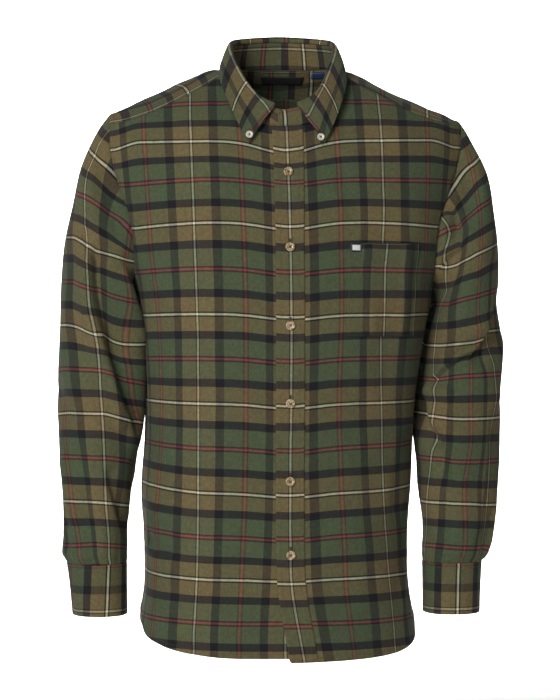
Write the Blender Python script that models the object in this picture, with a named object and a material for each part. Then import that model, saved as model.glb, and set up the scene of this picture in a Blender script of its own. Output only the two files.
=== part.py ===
"""A men's flannel shirt, filled out as if worn, with nobody in it. Each cut piece is a thin closed wall.

Metres, +Z up. +X is the wearer's left and +Y the wearer's back. The origin is on the neck's axis, level with
the points where neck and shoulders meet: the wearer's shoulders hold the shirt up there.

The body is a stack of level rings. A place on the front is (z, u): height, and the way along the ring from
the centre front. A place on the back is measured from the centre back in the same way. Panels are grids of
such places, sleeves are tubes that start at the armholes, and what lies on a panel is made from the panel's
own points, moved out.
"""
import bpy
import numpy as np

# ---------------------------------------------------------------- sizes of the cloth
CLOTH = 0.0012         # wall of a single layer of brushed flannel
YOKE_WALL = 0.0018     # two layers
COLLAR_WALL = 0.0021   # two layers and interlining
CUFF_WALL = 0.0023
TRIM_WALL = 0.0012     # placket strip, pocket
LABEL_WALL = 0.0010
SEAM_PULL = 0.00018    # each edge stands back this far from its seam line
ARMHOLE_PULL = 0.0013  # further back where a sleeve folds down from its armhole
STAND_PULL = 0.0019    # and where the stand rises from the neckline
LAYER_GAP = 0.0003     # clear of the layer below
ON_CLOTH = LAYER_GAP + (CLOTH + TRIM_WALL) / 2               # from a panel's middle to that of the trim on it
ON_TRIM = ON_CLOTH + LAYER_GAP + (TRIM_WALL + LABEL_WALL) / 2
IN_YOKE = -(2 * LAYER_GAP + (YOKE_WALL + LABEL_WALL) / 2)

OVERLAP = 0.016        # either front runs this far past the centre front
PLACKET_HALF = 0.0175  # half the placket's width
FLARE_TOP, FLARE_BOTTOM, FLARE = -0.62, -0.735, 0.016   # the upper front swings open below the last button
FLARE_FULL, FLARE_FADE = 0.02, 0.15                     # all of it near the front edge, then less and less

# ---------------------------------------------------------------- the body's rings
TORSO_COLUMNS = ("z", "half_width", "front", "back", "front_square", "back_square", "centre_x", "front_x")
TORSO = np.array([
    (-0.760, 0.179, 0.126, 0.130, 2.30, 2.30, -0.006, 0.0050),
    (-0.700, 0.1765, 0.125, 0.128, 2.30, 2.30, -0.006, 0.0045),
    (-0.655, 0.170, 0.124, 0.126, 2.35, 2.30, -0.007, 0.0042),
    (-0.625, 0.1665, 0.123, 0.124, 2.40, 2.30, -0.007, 0.0040),
    (-0.590, 0.1680, 0.123, 0.121, 2.40, 2.30, -0.008, 0.0038),
    (-0.540, 0.1720, 0.124, 0.118, 2.35, 2.30, -0.008, 0.0036),
    (-0.490, 0.1710, 0.125, 0.116, 2.35, 2.30, -0.005, 0.0035),
    (-0.430, 0.1715, 0.127, 0.118, 2.35, 2.30, -0.003, 0.0035),
    (-0.360, 0.1770, 0.130, 0.126, 2.40, 2.35, 0.000, 0.0035),
    (-0.287, 0.1880, 0.131, 0.134, 2.45, 2.40, 0.002, 0.0035),
    (-0.240, 0.2010, 0.128, 0.137, 2.40, 2.35, 0.001, 0.0032),
    (-0.190, 0.2130, 0.123, 0.137, 2.30, 2.25, 0.000, 0.0030),
    (-0.140, 0.2260, 0.115, 0.131, 2.20, 2.15, 0.000, 0.0020),
    (-0.100, 0.2370, 0.1065, 0.121, 2.10, 2.10, 0.000, 0.0010),
    (-0.072, 0.2395, 0.0955, 0.108, 2.05, 2.05, 0.000, 0.0000),
    (-0.045, 0.2130, 0.072, 0.094, 2.00, 2.00, 0.000, 0.0000),
    (-0.020, 0.1640, 0.045, 0.078, 2.00, 2.00, 0.000, 0.0000),
    (-0.003, 0.1260, 0.025, 0.066, 2.00, 2.00, 0.000, 0.0000),
    (0.016, 0.0950, 0.015, 0.055, 2.00, 2.00, 0.000, 0.0000),
])
RIDGE_COLUMNS = ("x", "right", "left")   # height of the top of either shoulder
RIDGE = np.array([
    (0.070, 0.0100, 0.0100),
    (0.085, 0.0060, 0.0050),
    (0.110, -0.0020, -0.0055),
    (0.140, -0.0140, -0.0215),
    (0.163, -0.0245, -0.0312),
    (0.184, -0.0350, -0.0395),
    (0.204, -0.0455, -0.0510),
    (0.219, -0.0555, -0.0610),
    (0.232, -0.0655, -0.0690),
])
CENTRE_Y = 0.004             # front and back depths are measured from here, where the side seams are

# ---------------------------------------------------------------- seam lines
HEM_COLUMNS = ("share", "front_right", "front_left", "back")   # share of the way from centre to side seam
HEM = np.array([
    (0.00, -0.7290, -0.7340, -0.7400),
    (0.30, -0.7290, -0.7325, -0.7380),
    (0.55, -0.7250, -0.7300, -0.7320),
    (0.72, -0.7185, -0.7245, -0.7220),
    (0.86, -0.7050, -0.7140, -0.7060),
    (1.00, -0.6800, -0.6920, 0.0000),                          # the back meets each front there
])
ARMHOLE_COLUMNS = ("z", "right", "left")                       # how far out the front armhole seam is
ARMHOLE = np.array([
    (-0.287, 0.1860, 0.1900),
    (-0.252, 0.1880, 0.1905),
    (-0.198, 0.1915, 0.1950),
    (-0.145, 0.2000, 0.2070),
    (-0.102, 0.2090, 0.2200),
    (-0.066, 0.2190, 0.2270),
])
ARMPIT_Z = -0.2875
SHOULDER_SEAM_Z = -0.066      # the front yoke seam meets the armhole
BACK_ARMHOLE_X = 0.2230       # the back yoke seam meets the armhole
BACK_ARMHOLE_IN = 0.004       # how far in the back armhole curves between
BACK_SEAM_COLUMNS = ("share", "z")   # back yoke seam, share of the way from the centre back to the armhole
BACK_SEAM = np.array([
    (0.00, -0.0220),
    (0.25, -0.0270),
    (0.50, -0.0410),
    (0.75, -0.0610),
    (1.00, -0.0870),
])

# Columns of a front: how far from the centre front each is low down, and at the top edge with its height.
FRONT_COLUMNS = ("u_low", "u_top", "z_top")
FRONT = np.array([
    (-0.016, -0.016, -0.0722),
    (0.000, 0.000, -0.0725),
    (0.018, 0.021, -0.0700),
    (0.034, 0.039, -0.0625),
    (0.050, 0.055, -0.0470),
    (0.066, 0.068, -0.0250),
    (0.092, 0.0755, -0.0030),      # where neck, yoke and front meet
    (0.118, 0.105, -0.0190),
    (0.144, 0.135, -0.0360),
    (0.170, 0.166, -0.0505),
    (0.197, 0.199, -0.0610),
])
LAST_COLUMN_EVEN = 0.58            # how far its last column moves to the middle between its neighbours
HALF_FRONT = 0.235                 # centre front to side seam at the hem
NECK_CORNER = 6                    # the column where neck, yoke and front meet
ROW_LEVELS = (-0.645, -0.585, -0.525, -0.465, -0.410, -0.370, -0.332, ARMPIT_Z, -0.252, -0.217)
TOP_SHARES = (0.2, 0.4, 0.6, 0.8, 1.0)
PANEL_ROWS = 1 + len(ROW_LEVELS) + len(TOP_SHARES)
ARMPIT_ROW = 8
BACK_CELLS = 20
YOKE_CELLS = 4
YOKE_NECK_CELLS = 10
NECK_BACK_COLUMNS = ("share", "x", "y", "z")   # half the back of the neckline, from its corner to the centre
NECK_BACK = np.array([
    (0.0, 0.0735, -0.0150, -0.0030),
    (0.2, 0.0715, 0.0020, 0.0065),
    (0.4, 0.0635, 0.0210, 0.0095),
    (0.6, 0.0490, 0.0370, 0.0105),
    (0.8, 0.0265, 0.0480, 0.0110),
    (1.0, 0.0000, 0.0520, 0.0112),
])
# Ways in which the yoke leaves its front edge: near the neck's corners, and at the back.
NECK_CORNER_WAY, NECK_CORNER_DROP = (0.25, 1.0, 0.25), 0.55
NECK_BACK_WAY = (0.0, 0.75, -0.66)
SHOULDER_WAY_BACK = 0.55           # the shoulders' ways turn this much towards the back
NECK_PULL = 0.9                    # how stiffly the yoke keeps to those ways behind the neck
SHOULDER_PULL_LEAST, SHOULDER_PULL_MOST = 0.6, 1.9

# ---------------------------------------------------------------- sleeves
SLEEVE_COLUMNS = ("z", "right_outer", "right_inner", "left_outer", "left_inner", "front", "back")
SLEEVE = np.array([
    (-0.200, 0.2735, 0.1900, 0.2725, 0.1900, 0.074, 0.070),
    (-0.240, 0.2785, 0.1895, 0.2760, 0.1920, 0.074, 0.070),
    (-0.285, 0.2820, 0.1895, 0.2770, 0.1935, 0.072, 0.070),
    (-0.330, 0.2840, 0.1850, 0.2790, 0.1865, 0.069, 0.069),
    (-0.380, 0.2850, 0.1800, 0.2790, 0.1785, 0.065, 0.067),
    (-0.427, 0.2850, 0.1795, 0.2790, 0.1725, 0.063, 0.064),
    (-0.466, 0.2835, 0.1830, 0.2790, 0.1705, 0.063, 0.058),
    (-0.505, 0.2815, 0.1895, 0.2765, 0.1735, 0.062, 0.051),
    (-0.545, 0.2790, 0.1960, 0.2745, 0.1765, 0.062, 0.041),
    (-0.585, 0.2780, 0.1975, 0.2670, 0.1785, 0.063, 0.031),
    (-0.606, 0.2795, 0.1985, 0.2610, 0.1790, 0.063, 0.024),
    (-0.619, 0.2700, 0.1990, 0.2535, 0.1795, 0.060, 0.018),
    (-0.700, 0.2645, 0.1985, 0.2495, 0.1800, 0.062, 0.012),
])
SLEEVE_SQUARE = 2.15
SLEEVE_ROWS = (-0.352, -0.385, -0.417, -0.445, -0.473, -0.503, -0.535, -0.565, -0.590, -0.607, -0.619)
HEAD_ROWS = 5                      # rows between the armhole and the first level-ish ring
HEAD_OUTER_Z, HEAD_INNER_Z = -0.222, -0.325
HEAD_OUT, HEAD_FORWARD, HEAD_DOWN = 0.72, 0.40, 0.45   # which way a sleeve leaves its armhole
HEAD_OUT_LESS, HEAD_DOWN_MORE = 0.08, 0.35             # and how that changes towards the top
HEAD_STIFF = 1.1                   # how stiffly it comes into the tube
TILT, TILT_END_Z = 0.28, -0.45     # rows below the head tilt like its last one, down to this height
ARM_FRONT_CELLS = 7                # armhole cells along a front, and along the back
CUFF_TOP, CUFF_BOTTOM = -0.6195, -0.6840
CUFF_CELLS = 20
CUFF_LAP_ANGLE = 42.0              # degrees of overlap
CUFF_LAP_START = 248.0             # where the under end lies, degrees from the outer side towards the front
CUFF_RISE_FROM, CUFF_RISE_OVER = 0.72, 0.16   # shares of the band over which its upper end rises onto the lap
SLEEVE_PLACKET_COLUMNS = (14.6, 15, 16, 16.4)                  # of the sleeve
SLEEVE_PLACKET_ROWS = (11, 12, 13, 14, 15, 15.9)

# ---------------------------------------------------------------- half the collar, from front to back
COLLAR_COLUMNS = ("share", "stand", "lean_in", "rise", "edge_x", "edge_y", "edge_z")
COLLAR = np.array([
    (0.055, 0.0225, 0.0065, 0.0015, 0.0470, -0.1050, -0.0930),
    (0.200, 0.0265, 0.0095, 0.0020, 0.0570, -0.0995, -0.0740),
    (0.340, 0.0275, 0.0120, 0.0022, 0.0665, -0.0860, -0.0510),
    (0.460, 0.0280, 0.0125, 0.0025, 0.0740, -0.0640, -0.0300),
    (0.580, 0.0285, 0.0105, 0.0030, 0.0800, -0.0320, -0.0070),
    (0.720, 0.0300, 0.0080, 0.0035, 0.0785, 0.0140, 0.0110),
    (0.860, 0.0330, 0.0070, 0.0042, 0.0520, 0.0560, 0.0080),
    (1.000, 0.0347, 0.0040, 0.0045, 0.0000, 0.0670, 0.0080),
])
STAND_END_HEIGHT = 0.0175          # the stand's ends
STAND_END_SHARE = 0.14             # and over how much of the line they come down to it
STAND_LAP = 0.0028                 # the upper end lies this far outside the under one
STAND_LAP_FROM, STAND_LAP_OVER = 0.10, 0.35
STAND_BULGE = 0.0012
UPPER_END = 0.40                   # and stops this share of the way from the front's edge to its next column
LEAF_CELLS = 22
LEAF_RISE = 0.0005                 # clear of the stand's top
ROLL_RADIUS = 0.0027
LEAF_BOW = 0.0018                  # the leaf swells this much between roll and edge

# ---------------------------------------------------------------- pocket, labels, buttons
POCKET_COLUMNS = (5.23, 6, 7, 8, 9)   # of the left front
POCKET_ROWS = (7, 8, 9, 10)
POCKET_TAB_COLUMNS, POCKET_TAB_ROWS = (5.36, 5.87), (9.70, 9.98)
NECK_LABEL_COLUMNS, NECK_LABEL_ROWS = (-0.98, 0, 1, 1.22), (0.95, 1, 1.9)   # of the yoke, from its middle
SIZE_TAB_COLUMNS, SIZE_TAB_ROWS = (1.64, 2, 2.75), (0.3, 1, 1.15)
BUTTON = dict(radius=0.00575, thick=0.0028, lift=0.0003)
SMALL_BUTTON = dict(radius=0.0046, thick=0.0024, lift=0.0003)
BUTTON_PROFILE = ((0.80, 0.0), (1.0, 0.35), (1.0, 0.8), (0.90, 1.0), (0.70, 0.72))   # of radius and height
BUTTON_SIDES = 14
FRONT_BUTTON_Z = (-0.129, -0.222, -0.318, -0.414, -0.510, -0.601)
COLLAR_BUTTON_COLUMN, COLLAR_BUTTON_ROW = 0.46, 5.60   # of the leaf, from either point

# ---------------------------------------------------------------- the largest folds
# Each runs from a to b. On a body panel "across" is metres from the centre line, on a sleeve it is degrees
# from the outer side towards the front. A trough has a depth below zero.
FOLD_COLUMNS = ("across_a", "z_a", "across_b", "z_b", "width", "depth")
FRONT_FOLDS = np.array([
    (-0.150, -0.200, -0.118, -0.350, 0.026, -0.0015),
    (-0.085, -0.420, -0.105, -0.640, 0.030, 0.0022),
    (0.120, -0.190, 0.128, -0.400, 0.020, -0.0022),
    (0.090, -0.460, 0.100, -0.680, 0.030, 0.0022),
    (-0.170, -0.560, -0.150, -0.610, 0.016, -0.0030),
])
BACK_FOLDS = np.array([
    (-0.065, -0.120, -0.050, -0.560, 0.026, -0.0035),
    (0.070, -0.110, 0.058, -0.520, 0.026, -0.0035),
    (0.000, -0.300, 0.004, -0.680, 0.034, 0.0030),
    (-0.160, -0.180, -0.120, -0.420, 0.024, 0.0028),
    (0.165, -0.190, 0.120, -0.450, 0.024, 0.0028),
])
SLEEVE_FOLDS = dict(
    right=np.array([
        (118.0, -0.130, 92.0, -0.270, 0.016, -0.0045),
        (92.0, -0.290, 125.0, -0.400, 0.016, -0.0045),
        (60.0, -0.330, 100.0, -0.470, 0.022, 0.0030),
        (-50.0, -0.300, -110.0, -0.400, 0.020, -0.0045),
        (-60.0, -0.450, -20.0, -0.520, 0.020, -0.0035),
    ]),
    left=np.array([
        (120.0, -0.150, 128.0, -0.250, 0.015, -0.0045),
        (20.0, -0.315, 70.0, -0.362, 0.014, -0.0045),
        (70.0, -0.362, 125.0, -0.383, 0.014, -0.0045),
        (85.0, -0.400, 125.0, -0.404, 0.014, 0.0035),
        (95.0, -0.425, 98.0, -0.470, 0.014, -0.0040),
        (-50.0, -0.330, -115.0, -0.410, 0.020, -0.0045),
    ]),
)
SLEEVE_RADIUS = 0.052              # turns degrees into metres for the folds
SEAM_CLEARANCE = 0.05              # a body fold dies out this close to a side seam
LIFT_SHARES = (1, 1, 1, 0.45, 0.08)   # of the upper front's lift off the under one, column by column

# ---------------------------------------------------------------- colours
FLANNEL = (0.085, 0.090, 0.050)
COLLAR_CLOTH = (0.110, 0.100, 0.060)
LABEL = (0.010, 0.010, 0.012)
BLUE_TAPE = (0.020, 0.120, 0.300)
HORN = (0.330, 0.250, 0.160)
PEARL = (0.600, 0.580, 0.520)
CLOTH_ROUGHNESS, BUTTON_ROUGHNESS = 0.9, 0.35
SHARP_ANGLE = 50

RING_STEPS = 241
EPSILON = 1e-9


# ================================================================ small mathematics
def column(table, names, name):
    return table[:, names.index(name)]


def curve(x, xs, ys):
    """A smooth line through (xs, ys) that never overshoots them; xs in either order."""
    xs, ys = np.asarray(xs, float), np.asarray(ys, float)
    if xs[0] > xs[-1]:
        xs, ys = xs[::-1], ys[::-1]
    step = np.diff(xs)
    rise = np.diff(ys) / step
    slope = np.zeros(len(xs))
    slope[0], slope[-1] = rise[0], rise[-1]
    product = rise[:-1] * rise[1:]
    safe = np.where(product > 0, rise[:-1] + rise[1:], 1.0)
    slope[1:-1] = np.where(product > 0, 2 * product / safe, 0.0)
    x = np.clip(x, xs[0], xs[-1])
    k = np.clip(np.searchsorted(xs, x, side="right") - 1, 0, len(xs) - 2)
    t = (x - xs[k]) / step[k]
    a = (1 + 2 * t) * (1 - t) ** 2
    b = t * (1 - t) ** 2
    c = t * t * (3 - 2 * t)
    d = t * t * (t - 1)
    return a * ys[k] + b * step[k] * slope[k] + c * ys[k + 1] + d * step[k] * slope[k + 1]


def look(table, names, name, x):
    """One column of a table, read at x of its first column."""
    return curve(x, table[:, 0], column(table, names, name))


def smooth(t):
    t = np.clip(t, 0.0, 1.0)
    return t * t * (3 - 2 * t)


def unit(v):
    v = np.asarray(v, float)
    return v / np.maximum(np.linalg.norm(v, axis=-1, keepdims=True), 1e-12)


def lengths(points):
    """How far along a run of points each one is."""
    return np.concatenate([[0.0], np.cumsum(np.linalg.norm(np.diff(points, axis=0), axis=1))])


def fold_lift(across, z, folds):
    """How far the folds raise or sink the cloth at places (across, z)."""
    across, z = np.asarray(across, float), np.asarray(z, float)
    lift = np.zeros(np.broadcast(across, z).shape)
    for a_across, a_z, b_across, b_z, width, depth in folds:
        run, drop = b_across - a_across, b_z - a_z
        t = np.clip(((across - a_across) * run + (z - a_z) * drop) / (run * run + drop * drop), 0, 1)
        away = np.hypot(across - a_across - t * run, z - a_z - t * drop)
        lift = lift + depth * np.exp(-(away / width) ** 2)
    return lift


def hermite(start, start_way, end, end_way, t):
    """Points from start to end that leave and arrive along the given ways; t runs from 0 to 1."""
    return ((1 + 2 * t) * (1 - t) ** 2 * start + t * (1 - t) ** 2 * start_way
            + t * t * (3 - 2 * t) * end + t * t * (t - 1) * end_way)


# ================================================================ the body's surface
def ring(z, front):
    """Half a ring from the right side seam to the left one, by way of the centre front or back."""
    angle = np.linspace(-np.pi / 2, np.pi / 2, RING_STEPS)
    side = "front" if front else "back"
    square = look(TORSO, TORSO_COLUMNS, side + "_square", z)
    width = look(TORSO, TORSO_COLUMNS, "half_width", z)
    depth = look(TORSO, TORSO_COLUMNS, side, z)
    centre = look(TORSO, TORSO_COLUMNS, "centre_x", z)
    x = centre + width * np.sign(angle) * np.abs(np.sin(angle)) ** (2 / square)
    y = depth * np.abs(np.cos(angle)) ** (2 / square)
    return np.stack([x, CENTRE_Y + (-y if front else y), np.full(RING_STEPS, z)], axis=1)


def centre_way(points, z, front):
    """How far along the ring its centre line is: the buttons' line in front, the middle behind."""
    name = "front_x" if front else "centre_x"
    return np.interp(look(TORSO, TORSO_COLUMNS, name, z), points[:, 0], lengths(points))


def on_body(z, u, front=True):
    """The place (z, u) on the front, or on the back, with the folds."""
    points = ring(z, front)
    way = lengths(points) - centre_way(points, z, front)
    along = np.gradient(points, axis=0)
    out = unit(np.stack([-along[:, 1], along[:, 0], 0 * along[:, 0]], axis=1)) * (-1 if front else 1)
    clear_of_sides = smooth((way - way[0]) / SEAM_CLEARANCE) * smooth((way[-1] - way) / SEAM_CLEARANCE)
    lift = fold_lift(way, z, FRONT_FOLDS if front else BACK_FOLDS) * clear_of_sides
    points = points + out * lift[:, None]
    return np.array([np.interp(u, way, points[:, k]) for k in range(3)])


def side_way(z, side, front=True):
    """How far the side seam is from the centre line, with its sign."""
    points = ring(z, front)
    way = lengths(points) - centre_way(points, z, front)
    return way[-1] if side > 0 else way[0]


def way_at_x(z, x, front=True):
    points = ring(z, front)
    way = lengths(points) - centre_way(points, z, front)
    return np.interp(x, points[:, 0], way)


def armhole_x(z, side):
    return side * look(ARMHOLE, ARMHOLE_COLUMNS, "left" if side > 0 else "right", z)


def edge_way(z, side, front=True):
    """The outer edge of a front or of the back: side seam below the armpit, armhole above it."""
    seam = side_way(z, side, front)
    if z <= ARMPIT_Z + EPSILON:
        return seam
    if front:
        return way_at_x(z, armhole_x(z, side))
    top = BACK_SEAM[-1, 1]
    height = min(1.0, (z - ARMPIT_Z) / (top - ARMPIT_Z))
    share = smooth(height)
    x = armhole_x(ARMPIT_Z, side) * (1 - share) + side * BACK_ARMHOLE_X * share
    narrow = side * BACK_ARMHOLE_IN * np.sin(np.pi * height)
    return way_at_x(z, x - narrow, front)


def row_levels(hem, top):
    """Heights of one column's rows: hem, the shared levels, and shares of the way on to its top edge."""
    last = ROW_LEVELS[-1]
    return [hem, *ROW_LEVELS, *(last + share * (top - last) for share in TOP_SHARES)]


def front_column(c, z, side):
    """How far from the centre front a column of the front is at a height."""
    u_low, u_top, z_top = FRONT[c]
    blend = smooth((z - ROW_LEVELS[-1]) / (z_top - ROW_LEVELS[-1]))
    u = side * (u_low * (1 - blend) + u_top * blend)
    if c == len(FRONT) - 1:
        halfway = 0.5 * (edge_way(min(z, SHOULDER_SEAM_Z), side) + side * FRONT[c - 1, 0])
        u = (1 - LAST_COLUMN_EVEN) * u + LAST_COLUMN_EVEN * halfway
    if side > 0:
        u += flare(z) * (1 - smooth((u_low - FLARE_FULL) / FLARE_FADE))
    return u


def front_grid(side):
    """Rows from hem to neck, columns from the centre front out. side is -1 for the wearer's right."""
    hem = column(HEM, HEM_COLUMNS, "front_left" if side > 0 else "front_right")
    grid = np.zeros((PANEL_ROWS, len(FRONT) + 1, 3))
    for c, (u_low, _, z_top) in enumerate(FRONT):
        share = np.clip(u_low / HALF_FRONT, 0.0, 1.0)
        for r, z in enumerate(row_levels(curve(share, HEM[:, 0], hem), z_top)):
            grid[r, c] = on_body(z, front_column(c, z, side))
    for r, z in enumerate(row_levels(hem[-1], SHOULDER_SEAM_Z)):
        grid[r, -1] = on_body(z, edge_way(z, side))
    return grid


def flare(z):
    return FLARE * smooth((FLARE_TOP - z) / (FLARE_TOP - FLARE_BOTTOM))


def back_grid(front_right, front_left):
    """Rows from hem to yoke seam, columns from the right side to the left one."""
    grid = np.zeros((PANEL_ROWS, BACK_CELLS + 1, 3))
    for c, signed in enumerate(np.linspace(-1, 1, BACK_CELLS + 1)):
        side, share = (1, signed) if signed >= 0 else (-1, -signed)
        hem = column(HEM, HEM_COLUMNS, "back").copy()
        hem[-1] = HEM[-1, HEM_COLUMNS.index("front_left" if side > 0 else "front_right")]
        z_top = look(BACK_SEAM, BACK_SEAM_COLUMNS, "z", share)
        for r, z in enumerate(row_levels(curve(share, HEM[:, 0], hem), z_top)):
            grid[r, c] = on_body(z, share * edge_way(z, side, front=False), front=False)
    grid[:ARMPIT_ROW + 1, 0] = front_right[:ARMPIT_ROW + 1, -1]
    grid[:ARMPIT_ROW + 1, -1] = front_left[:ARMPIT_ROW + 1, -1]
    return grid


def yoke_grid(front_right, front_left, back):
    """Columns from the right armhole over the neck to the left one, rows from front seam to back seam."""
    right_seam = front_right[-1, NECK_CORNER:][::-1]
    left_seam = front_left[-1, NECK_CORNER:]
    neck = neck_back(right_seam[-1], left_seam[0])
    front_edge = np.concatenate([right_seam, neck[1:-1], left_seam])
    front_way = unit(front_edge_ways(front_right, front_left))
    back_way = unit(back[-1] - back[-2])
    seam_cells = len(left_seam) - 1
    t = np.linspace(0, 1, YOKE_CELLS + 1)[:, None]
    grid = np.zeros((YOKE_CELLS + 1, len(front_edge), 3))
    for c, (start, end) in enumerate(zip(front_edge, back[-1])):
        chord = np.linalg.norm(end - start)
        over_shoulder = min(c, len(front_edge) - 1 - c) <= seam_cells
        if over_shoulder:
            pull = shoulder_pull(start, front_way[c], end, -back_way[c], chord)
        else:
            pull = NECK_PULL * chord
        grid[:, c] = hermite(start, front_way[c] * pull, end, -back_way[c] * pull, t)
    return grid


def shoulder_pull(start, start_way, end, end_way, chord):
    """The pull that lifts the middle of a curve from start to end up to the shoulder's ridge."""
    middle = 0.5 * (start + end)
    lift = look(RIDGE, RIDGE_COLUMNS, "left" if middle[0] > 0 else "right", abs(middle[0])) - middle[2]
    lift_of_one = (start_way[2] - end_way[2]) / 8          # at t = 1/2 both ways weigh an eighth
    pull = lift / max(0.05, lift_of_one)
    return np.clip(pull, SHOULDER_PULL_LEAST * chord, SHOULDER_PULL_MOST * chord)


def neck_back(right_corner, left_corner):
    """The neckline behind the two corners where yoke and fronts meet."""
    shares = np.linspace(0, 1, YOKE_NECK_CELLS // 2 + 1)
    halves = []
    for corner, side in ((right_corner, -1), (left_corner, 1)):
        line = np.stack([look(NECK_BACK, NECK_BACK_COLUMNS, name, shares) for name in "xyz"], axis=1)
        line[:, 0] *= side
        halves.append(line + (corner - line[0]) * (1 - shares[:, None]) ** 2)
    return np.concatenate([halves[0], halves[1][::-1][1:]])


def front_edge_ways(front_right, front_left):
    """Which way the yoke leaves its front edge: on from the fronts, and out from the neck behind."""
    turn_back = np.array([0.0, SHOULDER_WAY_BACK, 0.0])
    right = unit((front_right[-1] - front_right[-2])[NECK_CORNER:][::-1]) + turn_back
    left = unit((front_left[-1] - front_left[-2])[NECK_CORNER:]) + turn_back
    half = YOKE_NECK_CELLS // 2
    behind = []
    for k in range(1, YOKE_NECK_CELLS):
        to_back = 1 - abs(k - half) / half
        near_corner = np.array(NECK_CORNER_WAY) - [0.0, 0.0, NECK_CORNER_DROP * smooth(2.5 * to_back)]
        near_corner[0] *= -1 if k < half else 1
        behind.append(unit(near_corner) * (1 - to_back) + np.array(NECK_BACK_WAY) * to_back)
    return np.concatenate([right, np.array(behind), left])


# ================================================================ sleeves
def sleeve_ring(z, angle, side):
    """Level slice of a sleeve; angle 0 is its outer side, 90 degrees its front."""
    name = "left" if side > 0 else "right"
    outer = look(SLEEVE, SLEEVE_COLUMNS, name + "_outer", z)
    inner = look(SLEEVE, SLEEVE_COLUMNS, name + "_inner", z)
    front = look(SLEEVE, SLEEVE_COLUMNS, "front", z)
    back = look(SLEEVE, SLEEVE_COLUMNS, "back", z)
    cos, sin = np.cos(angle), np.sin(angle)
    power = 2 / SLEEVE_SQUARE
    x = side * (0.5 * (outer + inner) + 0.5 * (outer - inner) * np.sign(cos) * np.abs(cos) ** power)
    y = 0.5 * (back - front) - 0.5 * (back + front) * np.sign(sin) * np.abs(sin) ** power
    return np.stack([x, y, np.broadcast_to(z, x.shape)], axis=-1)


def armhole_loop(front, back_column, yoke_column):
    """The armhole seam from its top, down the front to the armpit and up the back."""
    top = YOKE_CELLS // 2
    down = yoke_column[:top + 1][::-1]
    front_seam = front[ARMPIT_ROW:, -1][::-1]
    back_seam = back_column[ARMPIT_ROW:]
    up = yoke_column[top:][::-1]
    return np.concatenate([down, front_seam[1:], back_seam[1:], up[1:-1]])


def sleeve_grid(loop, side):
    """Rows from the armhole to the cuff, columns round the arm as in the armhole, and each column's angle."""
    count = len(loop)
    armpit = YOKE_CELLS // 2 + ARM_FRONT_CELLS
    way = lengths(np.concatenate([loop, loop[:1]]))
    angle = np.where(np.arange(count) <= armpit, np.pi * way[:-1] / way[armpit],
                     np.pi + np.pi * (way[:-1] - way[armpit]) / (way[-1] - way[armpit]))
    outer = 0.5 * (1 + np.cos(angle))
    head_z = HEAD_INNER_Z + (HEAD_OUTER_Z - HEAD_INNER_Z) * outer
    head = sleeve_ring(head_z, angle, side)
    gap = np.linalg.norm(head - loop, axis=1)[:, None]
    leaves = unit(np.stack([side * (HEAD_OUT - HEAD_OUT_LESS * outer), -HEAD_FORWARD * np.sin(angle),
                            -HEAD_DOWN - HEAD_DOWN_MORE * outer], axis=1))
    arrives = unit(sleeve_ring(head_z - 0.01, angle, side) - head)
    rows = [hermite(loop, leaves * gap, head, arrives * gap * HEAD_STIFF, s)
            for s in np.linspace(0, 1, HEAD_ROWS + 1)]
    for z in SLEEVE_ROWS:
        tilt = TILT * smooth((z - TILT_END_Z) / (SLEEVE_ROWS[0] - TILT_END_Z))
        rows.append(sleeve_ring(z + tilt * (head_z - HEAD_INNER_Z), angle, side))
    return sleeve_folds(np.array(rows), angle, side), angle


def sleeve_folds(grid, angle, side):
    """The tube with its folds, which die out at its two ends."""
    folds = SLEEVE_FOLDS["left" if side > 0 else "right"].copy()
    folds[:, [0, 2]] = np.radians(folds[:, [0, 2]]) * SLEEVE_RADIUS
    turned = np.where(angle > np.pi, angle - 2 * np.pi, angle) * SLEEVE_RADIUS
    lift = fold_lift(turned[None, :], grid[:, :, 2], folds)
    rows = np.arange(len(grid))
    ends = smooth(rows / 3) * smooth((len(grid) - 1 - rows) / 2)
    axis = grid.mean(axis=1, keepdims=True)
    return grid + unit((grid - axis) * [1, 1, 0]) * (lift * ends[:, None])[:, :, None]


def cuff_grid(side):
    """A band round the wrist whose upper end laps over the under one."""
    turn = np.radians(360 + CUFF_LAP_ANGLE)
    start = np.radians(CUFF_LAP_START)
    share = np.linspace(0, 1, CUFF_CELLS + 1)
    angle = start + turn * share
    lap = (CUFF_WALL + 2 * LAYER_GAP) * smooth((share - CUFF_RISE_FROM) / CUFF_RISE_OVER)
    rows = []
    for z in np.linspace(CUFF_TOP, CUFF_BOTTOM, 4):
        base = sleeve_ring(np.full(len(angle), z), angle, side)
        axis = sleeve_ring(np.full(len(angle), z), angle + np.pi, side)
        out = unit(base - axis)
        rows.append(base + out * lap[:, None])
    return np.array(rows)


# ================================================================ collar
def stand_line(front_right, front_left, yoke):
    """The neckline from the under end, round the back, to the upper end."""
    seam_cells = front_right.shape[1] - 1 - NECK_CORNER
    right = front_right[-1, :NECK_CORNER + 1]
    left = front_left[-1, :NECK_CORNER + 1][::-1].copy()
    left[-1] += (left[-2] - left[-1]) * UPPER_END
    behind = yoke[0, seam_cells:-seam_cells]
    return np.concatenate([right, behind[1:-1], left])


def neck_shares(line):
    """Each neckline point's share of the way from centre front (0) to centre back (1), and its side."""
    way = lengths(line)
    first, last = way[1], way[-2]      # the two columns on the centre front
    middle = 0.5 * (first + last)
    share = 1 - np.abs(way - middle) / (middle - first)
    return share, np.where(way < middle, -1, 1)


def outward(line):
    """Level directions away from the neck's axis, square to the neckline."""
    along = np.gradient(line, axis=0)
    along[:, 2] = 0
    out = np.cross(unit(along), [0.0, 0.0, 1.0])
    centre = line.mean(axis=0)
    sign = np.sign(((line - centre) * out).sum(axis=1))
    return unit(out * sign[:, None])


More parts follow.
